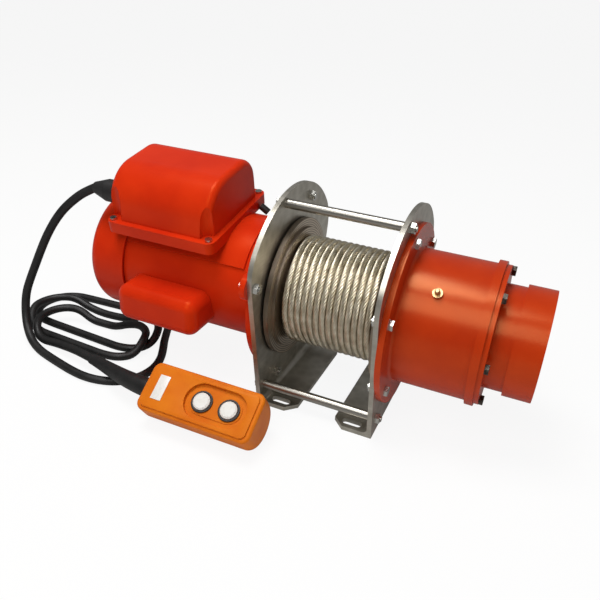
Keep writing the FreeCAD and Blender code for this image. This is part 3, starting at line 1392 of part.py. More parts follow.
def cord_boot():
    """Tapered rubber boot from the end of the pendant to the cord."""
    end = FreeCAD.Vector(*PENDANT_ROUTE[-1])
    heading = (end - FreeCAD.Vector(*PENDANT_ROUTE[-2])).normalize()
    tilt = FreeCAD.Rotation(FreeCAD.Vector(1, 0, 0), value("pendant_tilt"))
    face = FreeCAD.Vector(value("pendant_across"), value("pendant_rear"),
                          value("pendant_width/2 + pendant_side*cos(pendant_tilt*1 deg)"))
    start = face + tilt.multVec(FreeCAD.Vector(-value("pendant_length/2"), 0, 2.3 - value("pendant_side")))
    thick = value("boot_radius")
    thin = value("cord_radius + 1.2")
    third = (end - start).Length / 3
    bends = [start, start + FreeCAD.Vector(-third, 0, 0), end + heading * third, end]
    rings = []
    for share in (0.0, 0.2, 0.4, 0.6, 0.8, 1.0):
        rest = 1 - share
        weights = (rest ** 3, 3 * rest ** 2 * share, 3 * rest * share ** 2, share ** 3)
        slopes = (-rest ** 2, rest ** 2 - 2 * rest * share, 2 * rest * share - share ** 2, share ** 2)
        middle = FreeCAD.Vector(0, 0, 0)
        facing = FreeCAD.Vector(0, 0, 0)
        for bend, weight, slope in zip(bends, weights, slopes):
            middle += bend * weight
            facing += bend * slope
        rings.append(Part.Wire(Part.makeCircle(thick + (thin - thick) * share, middle, facing)))
    boot = keep("pendant_boot", doc.addObject("Part::Feature", "pendant_boot"))
    boot.Shape = Part.makeLoft(rings, True)


frame()
motor()
control_box()
capacitor_box()
drum()
gear_train()
gearbox()
pendant()
cords()
doc.recompute()

for thing in doc.Objects:
    if "Invalid" in thing.State or "Error" in thing.State:
        raise RuntimeError("%s failed: %s" % (thing.Label, thing.State))
for label, thing in parts.items():
    if thing.Shape.isNull() or not thing.Shape.isValid() or not thing.Shape.Solids:
        raise RuntimeError("%s has no sound solid" % label)

os.makedirs("parts", exist_ok=True)
for label, thing in parts.items():
    thing.Shape.exportStep("parts/%s.step" % label)
    box = thing.Shape.BoundBox
    print("%-24s %d solids  X %.1f %.1f  Y %.1f %.1f  Z %.1f %.1f" % (
        label, len(thing.Shape.Solids), box.XMin, box.XMax, box.YMin, box.YMax, box.ZMin, box.ZMax))
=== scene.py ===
import bpy
import math
from mathutils import Matrix, Vector


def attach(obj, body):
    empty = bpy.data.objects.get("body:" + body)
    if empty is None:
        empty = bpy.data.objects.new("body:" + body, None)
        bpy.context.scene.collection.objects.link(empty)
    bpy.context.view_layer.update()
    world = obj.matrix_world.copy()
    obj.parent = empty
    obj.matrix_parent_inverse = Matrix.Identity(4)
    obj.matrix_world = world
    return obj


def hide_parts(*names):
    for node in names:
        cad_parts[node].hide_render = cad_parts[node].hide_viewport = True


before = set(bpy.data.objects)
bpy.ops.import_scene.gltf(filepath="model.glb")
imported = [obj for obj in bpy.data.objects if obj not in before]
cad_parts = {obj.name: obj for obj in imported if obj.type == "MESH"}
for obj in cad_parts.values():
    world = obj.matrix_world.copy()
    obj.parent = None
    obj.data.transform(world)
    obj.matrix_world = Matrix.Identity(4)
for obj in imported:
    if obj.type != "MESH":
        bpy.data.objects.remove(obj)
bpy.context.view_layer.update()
scene = bpy.context.scene
scene.view_settings.view_transform = "Standard"


def linear(hexText):  # sRGB hex to the linear colour that sockets take
    parts = [int(hexText[i:i + 2], 16) / 255 for i in (1, 3, 5)]
    return [c / 12.92 if c <= 0.04045 else ((c + 0.055) / 1.055) ** 2.4 for c in parts] + [1.0]


def addNode(tree, kind, inputs=None, **settings):  # a value is set on its socket, a socket is linked to it
    node = tree.nodes.new(kind)
    for name, value in settings.items():
        setattr(node, name, value)
    for name, value in (inputs or {}).items():
        if isinstance(value, bpy.types.NodeSocket):
            tree.links.new(value, node.inputs[name])
        else:
            node.inputs[name].default_value = value
    return node


def newFinish(name, **inputs):
    material = bpy.data.materials.new(name)
    material.use_nodes = True
    tree = material.node_tree
    shader = tree.nodes["Principled BSDF"]
    for key, value in inputs.items():
        shader.inputs[key.replace("_", " ")].default_value = value
    place = addNode(tree, "ShaderNodeTexCoord").outputs["Object"]
    return material, tree, shader, place


def coatNodes(finish, *nodeNames):  # better material on CAD nodes
    for nodeName in nodeNames:
        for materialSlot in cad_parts[nodeName].material_slots:
            materialSlot.material = finish


# Camera, at the photograph's place
cameraFacts = {
    "place": (0.18811, -0.58526, 0.44644),
    "right": (0.91335101, 0.40413485, 0.04964836),
    "down": (0.23448402, -0.4223732, -0.87556732),
    "ahead": (-0.33287712, 0.81134204, -0.48053815),
    "lens": 38.23,
    "sensor": 36.0,
}

bpy.ops.object.select_all(action="DESELECT")
bpy.ops.object.camera_add()
camera = bpy.context.object
camera.name = "photoCamera"
camera.data.lens = cameraFacts["lens"]
camera.data.sensor_width = cameraFacts["sensor"]
camera.data.sensor_fit = "HORIZONTAL"
axes = [Vector(cameraFacts["right"]), -Vector(cameraFacts["down"]), -Vector(cameraFacts["ahead"])]
turn = Matrix(axes).transposed().to_4x4()
camera.matrix_world = Matrix.Translation(cameraFacts["place"]) @ turn
scene.camera = camera
print("camera set")


# Floor and light
studioFacts = {
    "floorSize": 80.0,
    "floorColour": "#F4F4F2",
    "whiteShare": 0.9,  # how much of the floor's white doesn't take the shadow
    "mirrorShare": 0.6,  # how much of the floor gloss surfaces see as the dim side of the studio
    "mirrorLevel": 0.18,
    "worldLevel": 0.2,
    "skyLevel": 0.92,  # what the camera sees above the floor's edge, as bright as the far floor
    "aim": (-0.03, 0.0, 0.12),  # middle of the winch, where the lamps point
    "lamps": [  # place, size and power
        ((-0.1, -1.15, 1.4), 0.8, 9.2),
        ((-0.3, -0.15, 1.6), 0.7, 16.5),
        ((1.2, -0.5, 0.8), 0.8, 1.4),
    ],
}

bpy.ops.object.select_all(action="DESELECT")
bpy.ops.mesh.primitive_plane_add(size=studioFacts["floorSize"], location=(0, 0, 0))
studioFloor = bpy.context.object
studioFloor.name = "studioFloor"

# Matt paper: plain white that keeps a soft shadow
paper, paperTree, paperShader = newFinish("matt paper floor", Roughness=0.9)[:3]
paperShader.inputs["Base Color"].default_value = linear(studioFacts["floorColour"])
rays = addNode(paperTree, "ShaderNodeLightPath")
seenRay = addNode(paperTree, "ShaderNodeMath", {
    0: rays.outputs["Is Camera Ray"], 1: rays.outputs["Is Transmission Ray"]}, operation="MAXIMUM")
whiteShare = addNode(paperTree, "ShaderNodeMath", {
    0: seenRay.outputs[0], 1: studioFacts["whiteShare"]}, operation="MULTIPLY")
glow = addNode(paperTree, "ShaderNodeEmission", {"Color": (1, 1, 1, 1), "Strength": 1.0})
dimSide = addNode(paperTree, "ShaderNodeEmission", {
    "Color": (1, 1, 1, 1), "Strength": studioFacts["mirrorLevel"]})
mirrorShare = addNode(paperTree, "ShaderNodeMath", {
    0: rays.outputs["Is Glossy Ray"], 1: studioFacts["mirrorShare"]}, operation="MULTIPLY")
paperDim = addNode(paperTree, "ShaderNodeMixShader", {
    0: mirrorShare.outputs[0], 1: paperShader.outputs[0], 2: dimSide.outputs[0]})
paperMix = addNode(paperTree, "ShaderNodeMixShader", {
    0: whiteShare.outputs[0], 1: paperDim.outputs[0], 2: glow.outputs[0]})
paperTree.links.new(paperMix.outputs[0], paperTree.nodes["Material Output"].inputs["Surface"])
studioFloor.data.materials.append(paper)

world = bpy.data.worlds.new("softStudio")
scene.world = world
world.use_nodes = True
sky = world.node_tree
for node in list(sky.nodes):
    sky.nodes.remove(node)
skyRays = addNode(sky, "ShaderNodeLightPath")
skyWhite = addNode(sky, "ShaderNodeBackground", {
    "Color": (1, 1, 1, 1), "Strength": studioFacts["skyLevel"]})
skyLight = addNode(sky, "ShaderNodeBackground", {
    "Color": (1, 1, 1, 1), "Strength": studioFacts["worldLevel"]})
skyMix = addNode(sky, "ShaderNodeMixShader", {
    0: skyRays.outputs["Is Camera Ray"], 1: skyLight.outputs[0], 2: skyWhite.outputs[0]})
addNode(sky, "ShaderNodeOutputWorld", {"Surface": skyMix.outputs[0]})

for number, (place, size, power) in enumerate(studioFacts["lamps"]):
    bpy.ops.object.light_add(type="AREA", location=place)
    lamp = bpy.context.object
    lamp.name = "softLamp%d" % (number + 1)
    lamp.data.size = size
    lamp.data.energy = power
    aim = Vector(studioFacts["aim"]) - Vector(place)
    lamp.rotation_euler = aim.to_track_quat("-Z", "Y").to_euler()
print("floor and lamps set")


# Control cord: from the gland down to the floor, two and a half loose loops, then into the pendant's boot
# Its points are in millimetres
cordFacts = {
    "radius": 0.005,
    "length": 1.73,
    "hang": [
        (-285.0, -48.51, 204.13), (-299.2, -51.7, 197.1), (-313.3, -56.0, 186.0), (-326.9, -60.2, 172.7),
        (-339.9, -63.4, 155.6), (-351.0, -66.2, 137.3), (-361.0, -68.4, 118.2), (-370.4, -70.5, 98.8),
        (-379.6, -73.1, 79.4), (-387.2, -76.8, 59.5), (-388.4, -81.6, 38.5), (-380.3, -91.2, 19.6),
        (-363.9, -102.3, 8.5), (-344.3, -110.3, 5.1), (-324.0, -116.0, 5.1), (-303.6, -121.0, 5.1),
        (-282.9, -125.6, 5.1), (-261.5, -128.4, 5.1), (-240.0, -126.1, 5.1), (-220.3, -117.6, 5.1),
        (-206.1, -101.6, 5.1), (-201.0, -80.5, 5.1), (-205.0, -59.6, 5.1), (-214.6, -40.2, 5.1),
        (-226.2, -20.5, 5.1)],
    "loops": [  # middle, half length and half width of each, one after the other
        (-332, -4, 97, 34), (-325, -30, 93, 33), (-320, -52, 84, 33), (-298, -70, 67, 31)],
    "firstTurn": 0.055,
    "lastTurn": 2.6,
    "points": 52,
    "lying": 5.1,  # height of the cord's middle on the floor
    "lift": 13.4,  # height of a hump over the loop below
    "climbStart": {"right": 0.36, "left": 1.0},  # half widths before the loop's middle line
    "climbLength": 0.55,
    "humpReach": 1.6,  # how soon a hump falls away from the loop's ends
    "firstHump": 0.85,  # turns that lie flat on the floor
    "humpBlend": 0.15,
    "end": [(-333.0, -93.8, 9.5), (-320.0, -95.8, 11.0), (-304.0, -98.6, 13.0), (-286.0, -102.6, 14.8),
            (-265.5, -107.9, 16.0)],
}


def ease(share):
    share = min(max(share, 0.0), 1.0)
    return share * share * (3 - 2 * share)


def loopPoint(turns):  # each loop has straight sides and round ends, and fans out from the last
    number = min(int(turns), len(cordFacts["loops"]) - 2)
    share = turns - number
    first, second = cordFacts["loops"][number], cordFacts["loops"][number + 1]
    across, rear, halfLong, halfWide = [a + (b - a) * share for a, b in zip(first, second)]
    straight = halfLong - halfWide
    arc = math.pi * halfWide
    halfWay = 2 * straight + arc
    way = (share * 2 * halfWay + arc / 2) % (2 * halfWay)
    side = 1 if way < halfWay else -1
    way = way % halfWay
    if way < arc:
        angle = way / halfWide - math.pi / 2
        x, y = straight + halfWide * math.cos(angle), halfWide * math.sin(angle)
    else:
        x, y = straight - (way - arc), halfWide
    x, y = x * side, y * side
    climbStart = cordFacts["climbStart"]["right" if x > 0 else "left"]
    rise = ease((y / halfWide + climbStart) / cordFacts["climbLength"])
    rise *= 1 - ease(cordFacts["humpReach"] * (1 - abs(x) / straight))
    rise *= ease((turns - cordFacts["firstHump"]) / cordFacts["humpBlend"])
    return across + x, rear + y, cordFacts["lying"] + cordFacts["lift"] * rise


cordRoute = list(cordFacts["hang"])
turnSpan = cordFacts["lastTurn"] - cordFacts["firstTurn"]
for number in range(cordFacts["points"] + 1):
    share = number / cordFacts["points"]
    cordRoute.append(loopPoint(cordFacts["firstTurn"] + turnSpan * share))
cordRoute += cordFacts["end"]

cordCurve = bpy.data.curves.new("controlCord", "CURVE")
cordCurve.dimensions = "3D"
cordSpline = cordCurve.splines.new("NURBS")
cordSpline.points.add(len(cordRoute) - 1)
for point, (x, y, z) in zip(cordSpline.points, cordRoute):
    point.co = (x / 1000, y / 1000, z / 1000, 1)
    point.radius = cordFacts["radius"]
cordSpline.order_u = 3
cordSpline.use_endpoint_u = True
cordSpline.resolution_u = 6
cordCurve.bevel_depth = 1.0  # times the radius at each point
cordCurve.bevel_resolution = 4
cordCurve.use_fill_caps = True
controlCord = bpy.data.objects.new("controlCord", cordCurve)
scene.collection.objects.link(controlCord)
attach(controlCord, "frame")
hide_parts("control_cord", "cord_coil", "pendant_cord")
print("control cord laid")


# Wire rope on the drum: six strands twisted round the rope's middle line, with no core drawn, over a layer
# below
ropeFacts = {
    "axisHeight": 0.117,
    "halfWidth": 0.0486,  # from the middle of the drum to the last turn
    "turns": 14,
    "radius": 0.0567,  # of the middle line of the upper layer
    "strands": 6,
    "strandRadius": 0.00107,
    "strandOffset": 0.00233,
    "lay": 0.029,  # length of rope in which a strand goes once round
    "routePerTurn": 16,  # points of the route in a turn
    "routeOutset": 1.02,  # the spline runs a little inside its points
    "stepsPerPoint": 8,
    "lowerRadius": 0.0503,  # of the middle line of the layer below
    "lowerHalfThick": 0.00336,
    "lowerSteps": 4,
}


# Open NURBS spline round the drum, read back as points
def drumHelix(name, radius, steps):
    curve = bpy.data.curves.new(name, "CURVE")
    curve.dimensions = "3D"
    spline = curve.splines.new("NURBS")
    count = ropeFacts["turns"] * ropeFacts["routePerTurn"]
    spline.points.add(count)
    reach = ropeFacts["routeOutset"] * radius
    for number, point in enumerate(spline.points):
        angle = 2 * math.pi * number / ropeFacts["routePerTurn"]
        across = ropeFacts["halfWidth"] * (2 * number / count - 1)
        point.co = (across, reach * math.cos(angle), ropeFacts["axisHeight"] + reach * math.sin(angle), 1)
    spline.order_u = 3
    spline.use_endpoint_u = True
    spline.resolution_u = steps
    holder = bpy.data.objects.new(name, curve)
    scene.collection.objects.link(holder)
    line = bpy.data.meshes.new_from_object(holder)
    points = [vertex.co.copy() for vertex in line.vertices]
    bpy.data.objects.remove(holder)
    bpy.data.meshes.remove(line)
    return points


helix = drumHelix("ropeLine", ropeFacts["radius"], ropeFacts["stepsPerPoint"])
ropeCurve = bpy.data.curves.new("wireRope", "CURVE")
ropeCurve.dimensions = "3D"
ropeCurve.bevel_depth = ropeFacts["strandRadius"]
ropeCurve.bevel_resolution = 1
ropeCurve.use_fill_caps = True
gone = 0.0
strandPoints = [[] for strand in range(ropeFacts["strands"])]
for number, spot in enumerate(helix):
    before, after = helix[max(number - 1, 0)], helix[min(number + 1, len(helix) - 1)]
    along = (after - before).normalized()
    outward = (spot - Vector((spot.x, 0, ropeFacts["axisHeight"]))).normalized()
    sideways = along.cross(outward).normalized()
    if number:
        gone += (spot - helix[number - 1]).length
    for strand, points in enumerate(strandPoints):
        angle = 2 * math.pi * (gone / ropeFacts["lay"] + strand / ropeFacts["strands"])
        lean = math.cos(angle) * outward + math.sin(angle) * sideways
        points.append(spot + ropeFacts["strandOffset"] * lean)
for points in strandPoints:
    strandSpline = ropeCurve.splines.new("POLY")
    strandSpline.points.add(len(points) - 1)
    for point, spot in zip(strandSpline.points, points):
        point.co = (*spot, 1)
    strandSpline.use_smooth = True
lowerLine = drumHelix("lowerLine", ropeFacts["lowerRadius"], ropeFacts["lowerSteps"])
lowerSpline = ropeCurve.splines.new("POLY")
lowerSpline.points.add(len(lowerLine) - 1)
for point, spot in zip(lowerSpline.points, lowerLine):
    point.co = (*spot, 1)
    point.radius = ropeFacts["lowerHalfThick"] / ropeFacts["strandRadius"]
wireRope = bpy.data.objects.new("wireRope", ropeCurve)
scene.collection.objects.link(wireRope)
bpy.ops.object.select_all(action="DESELECT")
wireRope.select_set(True)
bpy.context.view_layer.objects.active = wireRope
bpy.ops.object.convert(target="MESH")
wireRope = bpy.context.object
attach(wireRope, "drum")
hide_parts("rope_winding")
print("wire rope wound, faces", len(wireRope.data.polygons))


# Pendant: its own frame leans on the floor beside the winch
pendantFacts = {
    "across": -0.095,
    "rear": -0.1474,
    "up": 0.0430,
    "tilt": math.radians(34.0),
    "plateAcross": -0.0455,
    "plateWide": 0.012,
    "plateLong": 0.027,
    "plateThick": 0.0006,
    "plateEdge": 0.00025,
    "panelLong": 0.1215,
    "panelWide": 0.0465,
    "panelRound": 0.006,
    "panelRise": 0.0021,
    "panelSink": 0.0002,  # how far its underside goes into the shell
    "panelEdge": 0.0006,
    "recessMiddle": 0.0185,
    "recessSpacing": 0.031,
    "recessRadius": 0.0190,
    "cutterReach": 0.004,
    "arcGap": 0.00002,  # keeps the cutter's round corners from meeting
    # sizes of the black collars that paint the shadowed gap round each button
    "shadeCollarOutside": 0.0116,
    "shadeCollarInside": 0.0095,
    "shadeCollarLow": -0.0012,  # heights from the plane of the face
    "shadeCollarHigh": 0.0007,
    "shadeCollarEdge": 0.0005,
    "smoothAngle": math.radians(35),
}
pendantFrame = Matrix.Translation((pendantFacts["across"], pendantFacts["rear"], pendantFacts["up"])) \
    @ Matrix.Rotation(pendantFacts["tilt"], 4, "X")

bpy.ops.object.select_all(action="DESELECT")
bpy.ops.mesh.primitive_cube_add(size=1)
barePlate = bpy.context.object
barePlate.name = "barePlate"
bpy.ops.object.mode_set(mode="EDIT")
bpy.ops.mesh.select_all(action="SELECT")
bpy.ops.transform.resize(
    value=(pendantFacts["plateWide"], pendantFacts["plateLong"], pendantFacts["plateThick"]))
bpy.ops.mesh.bevel(offset=pendantFacts["plateEdge"], segments=2, affect="EDGES")
bpy.ops.transform.translate(value=(pendantFacts["plateAcross"], 0,
                                   pendantFacts["panelRise"] + pendantFacts["plateThick"] / 2))
bpy.ops.object.mode_set(mode="OBJECT")
barePlate.data.transform(pendantFrame)
bpy.ops.object.shade_smooth_by_angle(angle=pendantFacts["smoothAngle"])
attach(barePlate, "frame")
print("pendant plate placed")


def roundedSlab(name, size, corner, segments, low, high):  # plane with round corners, drawn up to a slab
    bpy.ops.object.select_all(action="DESELECT")
    bpy.ops.mesh.primitive_plane_add(size=1, location=(0, 0, 0))
    slab = bpy.context.object
    slab.name = name
    bpy.ops.object.mode_set(mode="EDIT")
    bpy.ops.mesh.select_all(action="SELECT")
    bpy.ops.transform.resize(value=(size[0], size[1], 1))
    bpy.ops.transform.translate(value=(0, 0, low))
    bpy.ops.mesh.bevel(offset=corner, segments=segments, affect="VERTICES")
    bpy.ops.mesh.remove_doubles(threshold=0.00001)
    bpy.ops.mesh.extrude_region_move(TRANSFORM_OT_translate={"value": (0, 0, high - low)})
    bpy.ops.mesh.select_all(action="SELECT")
    bpy.ops.mesh.normals_make_consistent(inside=False)
    bpy.ops.object.mode_set(mode="OBJECT")
    return slab


def softEdges(piece, width):
    bevel = piece.modifiers.new("softEdges", "BEVEL")
    bevel.width = width
    bevel.segments = 3
    bevel.angle_limit = math.radians(40)
    bpy.context.view_layer.objects.active = piece
    bpy.ops.object.modifier_apply(modifier=bevel.name)


# Raised panel of the pendant's face, open over the recess
recessWide = 2 * pendantFacts["recessRadius"]
recessCutter = roundedSlab("recessCutter", (pendantFacts["recessSpacing"] + recessWide, recessWide),
                           pendantFacts["recessRadius"] - pendantFacts["arcGap"], 16,
                           -pendantFacts["cutterReach"], pendantFacts["cutterReach"])
recessCutter.location.x = pendantFacts["recessMiddle"]
facePanel = roundedSlab("facePanel", (pendantFacts["panelLong"], pendantFacts["panelWide"]),
                        pendantFacts["panelRound"], 6, -pendantFacts["panelSink"], pendantFacts["panelRise"])
opening = facePanel.modifiers.new("opening", "BOOLEAN")
opening.operation = "DIFFERENCE"
opening.object = recessCutter
bpy.context.view_layer.objects.active = facePanel
bpy.ops.object.modifier_apply(modifier=opening.name)
bpy.data.objects.remove(recessCutter)
softEdges(facePanel, pendantFacts["panelEdge"])
facePanel.data.transform(pendantFrame)
bpy.ops.object.select_all(action="DESELECT")
facePanel.select_set(True)
bpy.ops.object.shade_smooth_by_angle(angle=pendantFacts["smoothAngle"])
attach(facePanel, "frame")
print("pendant panel placed, faces", len(facePanel.data.polygons))

# Black collar round each button, as painted shade: a black ring that stands for the shadowed gap round the
# button
bpy.ops.object.select_all(action="DESELECT")
bpy.ops.mesh.primitive_cylinder_add(vertices=48, radius=pendantFacts["shadeCollarOutside"],
                                    depth=pendantFacts["shadeCollarHigh"] - pendantFacts["shadeCollarLow"],
                                    location=(0, 0, 0))
firstShadeCollar = bpy.context.object
firstShadeCollar.name = "buttonShadeCollarUp"
bpy.ops.object.mode_set(mode="EDIT")
bpy.ops.mesh.select_mode(type="FACE")
bpy.ops.mesh.select_all(action="DESELECT")
bpy.ops.mesh.select_face_by_sides(number=4, type="GREATER")
bpy.ops.mesh.inset(thickness=pendantFacts["shadeCollarOutside"] - pendantFacts["shadeCollarInside"])
bpy.ops.mesh.bridge_edge_loops()
bpy.ops.mesh.select_all(action="SELECT")
bpy.ops.transform.translate(
    value=(0, 0, (pendantFacts["shadeCollarHigh"] + pendantFacts["shadeCollarLow"]) / 2))
bpy.ops.mesh.normals_make_consistent(inside=False)
bpy.ops.object.mode_set(mode="OBJECT")
softEdges(firstShadeCollar, pendantFacts["shadeCollarEdge"])
bpy.ops.object.shade_smooth_by_angle(angle=pendantFacts["smoothAngle"])
secondShadeCollar = firstShadeCollar.copy()
secondShadeCollar.data = firstShadeCollar.data.copy()
secondShadeCollar.name = "buttonShadeCollarDown"
scene.collection.objects.link(secondShadeCollar)
for shadeCollar, side in ((firstShadeCollar, -1), (secondShadeCollar, 1)):
    across = pendantFacts["recessMiddle"] + side * pendantFacts["recessSpacing"] / 2
    shadeCollar.data.transform(pendantFrame @ Matrix.Translation((across, 0, 0)))
    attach(shadeCollar, "frame")
print("button collars placed")


# Finishes
# Gloss enamel, sprayed on castings and sheet: fine orange peel, soft highlights, slightly uneven tone
motorEnamel, tree, shader, place = newFinish("motor gloss enamel", Roughness=0.3, IOR=1.5,
                                             Specular_IOR_Level=0.3, Specular_Tint=linear("#FF9038"))
# clouds about 70 mm wide
tone = addNode(tree, "ShaderNodeTexNoise", {"Vector": place, "Scale": 14.0, "Detail": 3.0})
ramp = addNode(tree, "ShaderNodeValToRGB", {"Fac": tone.outputs["Fac"]})
ramp.color_ramp.elements[0].position = 0.3
ramp.color_ramp.elements[0].color = linear("#BE240B")
ramp.color_ramp.elements[1].position = 0.7
ramp.color_ramp.elements[1].color = linear("#D4320E")
# peel about 2.4 mm
peel = addNode(tree, "ShaderNodeTexNoise", {"Vector": place, "Scale": 420.0, "Detail": 2.0})
peelBump = addNode(tree, "ShaderNodeBump", {
    "Height": peel.outputs["Fac"], "Strength": 0.06, "Distance": 0.0004})
tree.links.new(ramp.outputs["Color"], shader.inputs["Base Color"])
tree.links.new(peelBump.outputs["Normal"], shader.inputs["Normal"])
coatNodes(motorEnamel, "motor_flange", "motor_housing", "motor_end_bell", "fan_cover", "motor_saddle",
          "control_base", "control_cover", "capacitor_cover")

# The gearbox has the same enamel over turned iron: a browner red with rings of the lathe under it
gearboxEnamel, tree, shader, place = newFinish("gearbox gloss enamel", Roughness=0.26, IOR=1.5,
                                               Specular_IOR_Level=0.6, Specular_Tint=linear("#FFC080"))
# clouds about 55 mm wide
tone = addNode(tree, "ShaderNodeTexNoise", {"Vector": place, "Scale": 18.0, "Detail": 4.0})
ramp = addNode(tree, "ShaderNodeValToRGB", {"Fac": tone.outputs["Fac"]})
ramp.color_ramp.elements[0].position = 0.3
ramp.color_ramp.elements[0].color = linear("#B02C0A")
ramp.color_ramp.elements[1].position = 0.7
ramp.color_ramp.elements[1].color = linear("#C2380C")
# lathe rings about 2 mm apart
rings = addNode(tree, "ShaderNodeTexWave", {
    "Vector": place, "Scale": 160.0, "Distortion": 0.6, "Detail": 1.0}, bands_direction="X")
ringBump = addNode(tree, "ShaderNodeBump", {
    "Height": rings.outputs["Fac"], "Strength": 0.05, "Distance": 0.0003})
tree.links.new(ramp.outputs["Color"], shader.inputs["Base Color"])
tree.links.new(ringBump.outputs["Normal"], shader.inputs["Normal"])
coatNodes(gearboxEnamel, "gear_housing", "end_housing")

# Zinc plated steel sheet: dull grey metal with faint spangle and rolling streaks
plateZinc, tree, shader, place = newFinish("zinc plated steel sheet", Metallic=1.0)
spangle = addNode(tree, "ShaderNodeTexVoronoi", {"Vector": place, "Scale": 90.0})  # spangles about 11 mm
# rolling streaks about 25 mm long and 1.7 mm wide
streak = addNode(tree, "ShaderNodeMapping", {"Vector": place, "Scale": (40.0, 40.0, 600.0)})
streaks = addNode(tree, "ShaderNodeTexNoise", {"Vector": streak.outputs[0], "Scale": 1.0, "Detail": 3.0})
blendTone = addNode(tree, "ShaderNodeMath", {
    0: spangle.outputs["Distance"], 1: streaks.outputs["Fac"]}, operation="MULTIPLY")
ramp = addNode(tree, "ShaderNodeValToRGB", {"Fac": blendTone.outputs[0]})
ramp.color_ramp.elements[0].color = linear("#ADA89C")
ramp.color_ramp.elements[1].position = 0.5
ramp.color_ramp.elements[1].color = linear("#CAC5BA")
rough = addNode(tree, "ShaderNodeMapRange", {"Value": streaks.outputs["Fac"], "To Min": 0.3, "To Max": 0.46})
tree.links.new(ramp.outputs["Color"], shader.inputs["Base Color"])
tree.links.new(rough.outputs[0], shader.inputs["Roughness"])
coatNodes(plateZinc, "motor_side_plate", "gear_side_plate")

# Bright zinc on turned and cold-headed fasteners: clean, pale, with small rub marks
fastenerZinc, tree, shader, place = newFinish("bright zinc fasteners", Metallic=1.0)
# rub marks about 4 mm
rub = addNode(tree, "ShaderNodeTexNoise", {"Vector": place, "Scale": 260.0, "Detail": 4.0})
rough = addNode(tree, "ShaderNodeMapRange", {"Value": rub.outputs["Fac"], "To Min": 0.16, "To Max": 0.34})
ramp = addNode(tree, "ShaderNodeValToRGB", {"Fac": rub.outputs["Fac"]})
ramp.color_ramp.elements[0].color = linear("#B4B3AD")
ramp.color_ramp.elements[1].color = linear("#D2D1CB")
tree.links.new(ramp.outputs["Color"], shader.inputs["Base Color"])
tree.links.new(rough.outputs[0], shader.inputs["Roughness"])
coatNodes(fastenerZinc, "tie_rod_nuts", "motor_flange_bolts", "gear_flange_bolts", "flange_nuts",
          "control_cover_screws")

# Drawn rod steel: duller than the fasteners, with long draw marks
rodSteel, tree, shader, place = newFinish("drawn rod steel", Metallic=1.0)
# draw marks about 80 mm long and 1.4 mm wide
draw = addNode(tree, "ShaderNodeMapping", {"Vector": place, "Scale": (12.0, 700.0, 700.0)})
lines = addNode(tree, "ShaderNodeTexNoise", {"Vector": draw.outputs[0], "Scale": 1.0, "Detail": 3.0})
ramp = addNode(tree, "ShaderNodeValToRGB", {"Fac": lines.outputs["Fac"]})
ramp.color_ramp.elements[0].color = linear("#9A968E")
ramp.color_ramp.elements[1].color = linear("#B0ACA4")
rough = addNode(tree, "ShaderNodeMapRange", {"Value": lines.outputs["Fac"], "To Min": 0.26, "To Max": 0.34})
tree.links.new(ramp.outputs["Color"], shader.inputs["Base Color"])
tree.links.new(rough.outputs[0], shader.inputs["Roughness"])
coatNodes(rodSteel, "tie_rods")

# Blackened bolt steel: dark oiled oxide, worn paler in spots
boltOxide, tree, shader, place = newFinish("blackened bolt steel", Metallic=0.9)
# worn spots about 3 mm
wear = addNode(tree, "ShaderNodeTexNoise", {"Vector": place, "Scale": 300.0, "Detail": 3.0})
ramp = addNode(tree, "ShaderNodeValToRGB", {"Fac": wear.outputs["Fac"]})
ramp.color_ramp.elements[0].position = 0.35
ramp.color_ramp.elements[0].color = linear("#2E2A27")
ramp.color_ramp.elements[1].position = 0.75
ramp.color_ramp.elements[1].color = linear("#6A625A")
shader.inputs["Roughness"].default_value = 0.36
tree.links.new(ramp.outputs["Color"], shader.inputs["Base Color"])
coatNodes(boltOxide, "end_housing_bolts")

# Turned drum steel: fine lathe rings round the axis, warm grey
drumSteel, tree, shader, place = newFinish("turned drum steel", Metallic=1.0)
centred = addNode(tree, "ShaderNodeMapping", {"Vector": place, "Location": (0, 0, -ropeFacts["axisHeight"])})
# lathe rings about 2.4 mm apart, drawn coarser than real ones to show
rings = addNode(tree, "ShaderNodeTexWave", {
    "Vector": centred.outputs[0], "Scale": 130.0, "Distortion": 0.3}, wave_type="RINGS", rings_direction="X")
ramp = addNode(tree, "ShaderNodeValToRGB", {"Fac": rings.outputs["Fac"]})
ramp.color_ramp.elements[0].color = linear("#86786A")
ramp.color_ramp.elements[1].color = linear("#D0C2AE")
ringBump = addNode(tree, "ShaderNodeBump", {
    "Height": rings.outputs["Fac"], "Strength": 0.12, "Distance": 0.0003})
shader.inputs["Roughness"].default_value = 0.36
tree.links.new(ramp.outputs["Color"], shader.inputs["Base Color"])
tree.links.new(ringBump.outputs["Normal"], shader.inputs["Normal"])
coatNodes(drumSteel, "drum")

# Drawn rope wire, lightly oiled: warm pale metal with darker patches of oil about 8 mm wide
ropeSteel, tree, shader, place = newFinish("drawn rope wire", Metallic=1.0)
oil = addNode(tree, "ShaderNodeTexNoise", {"Vector": place, "Scale": 120.0, "Detail": 4.0})
ramp = addNode(tree, "ShaderNodeValToRGB", {"Fac": oil.outputs["Fac"]})
ramp.color_ramp.elements[0].position = 0.3
ramp.color_ramp.elements[0].color = linear("#D4C8AE")
ramp.color_ramp.elements[1].position = 0.7
ramp.color_ramp.elements[1].color = linear("#FFF8E6")
rough = addNode(tree, "ShaderNodeMapRange", {"Value": oil.outputs["Fac"], "To Min": 0.24, "To Max": 0.36})
tree.links.new(ramp.outputs["Color"], shader.inputs["Base Color"])
tree.links.new(rough.outputs[0], shader.inputs["Roughness"])
wireRope.data.materials.append(ropeSteel)
coatNodes(ropeSteel, "rope_winding")

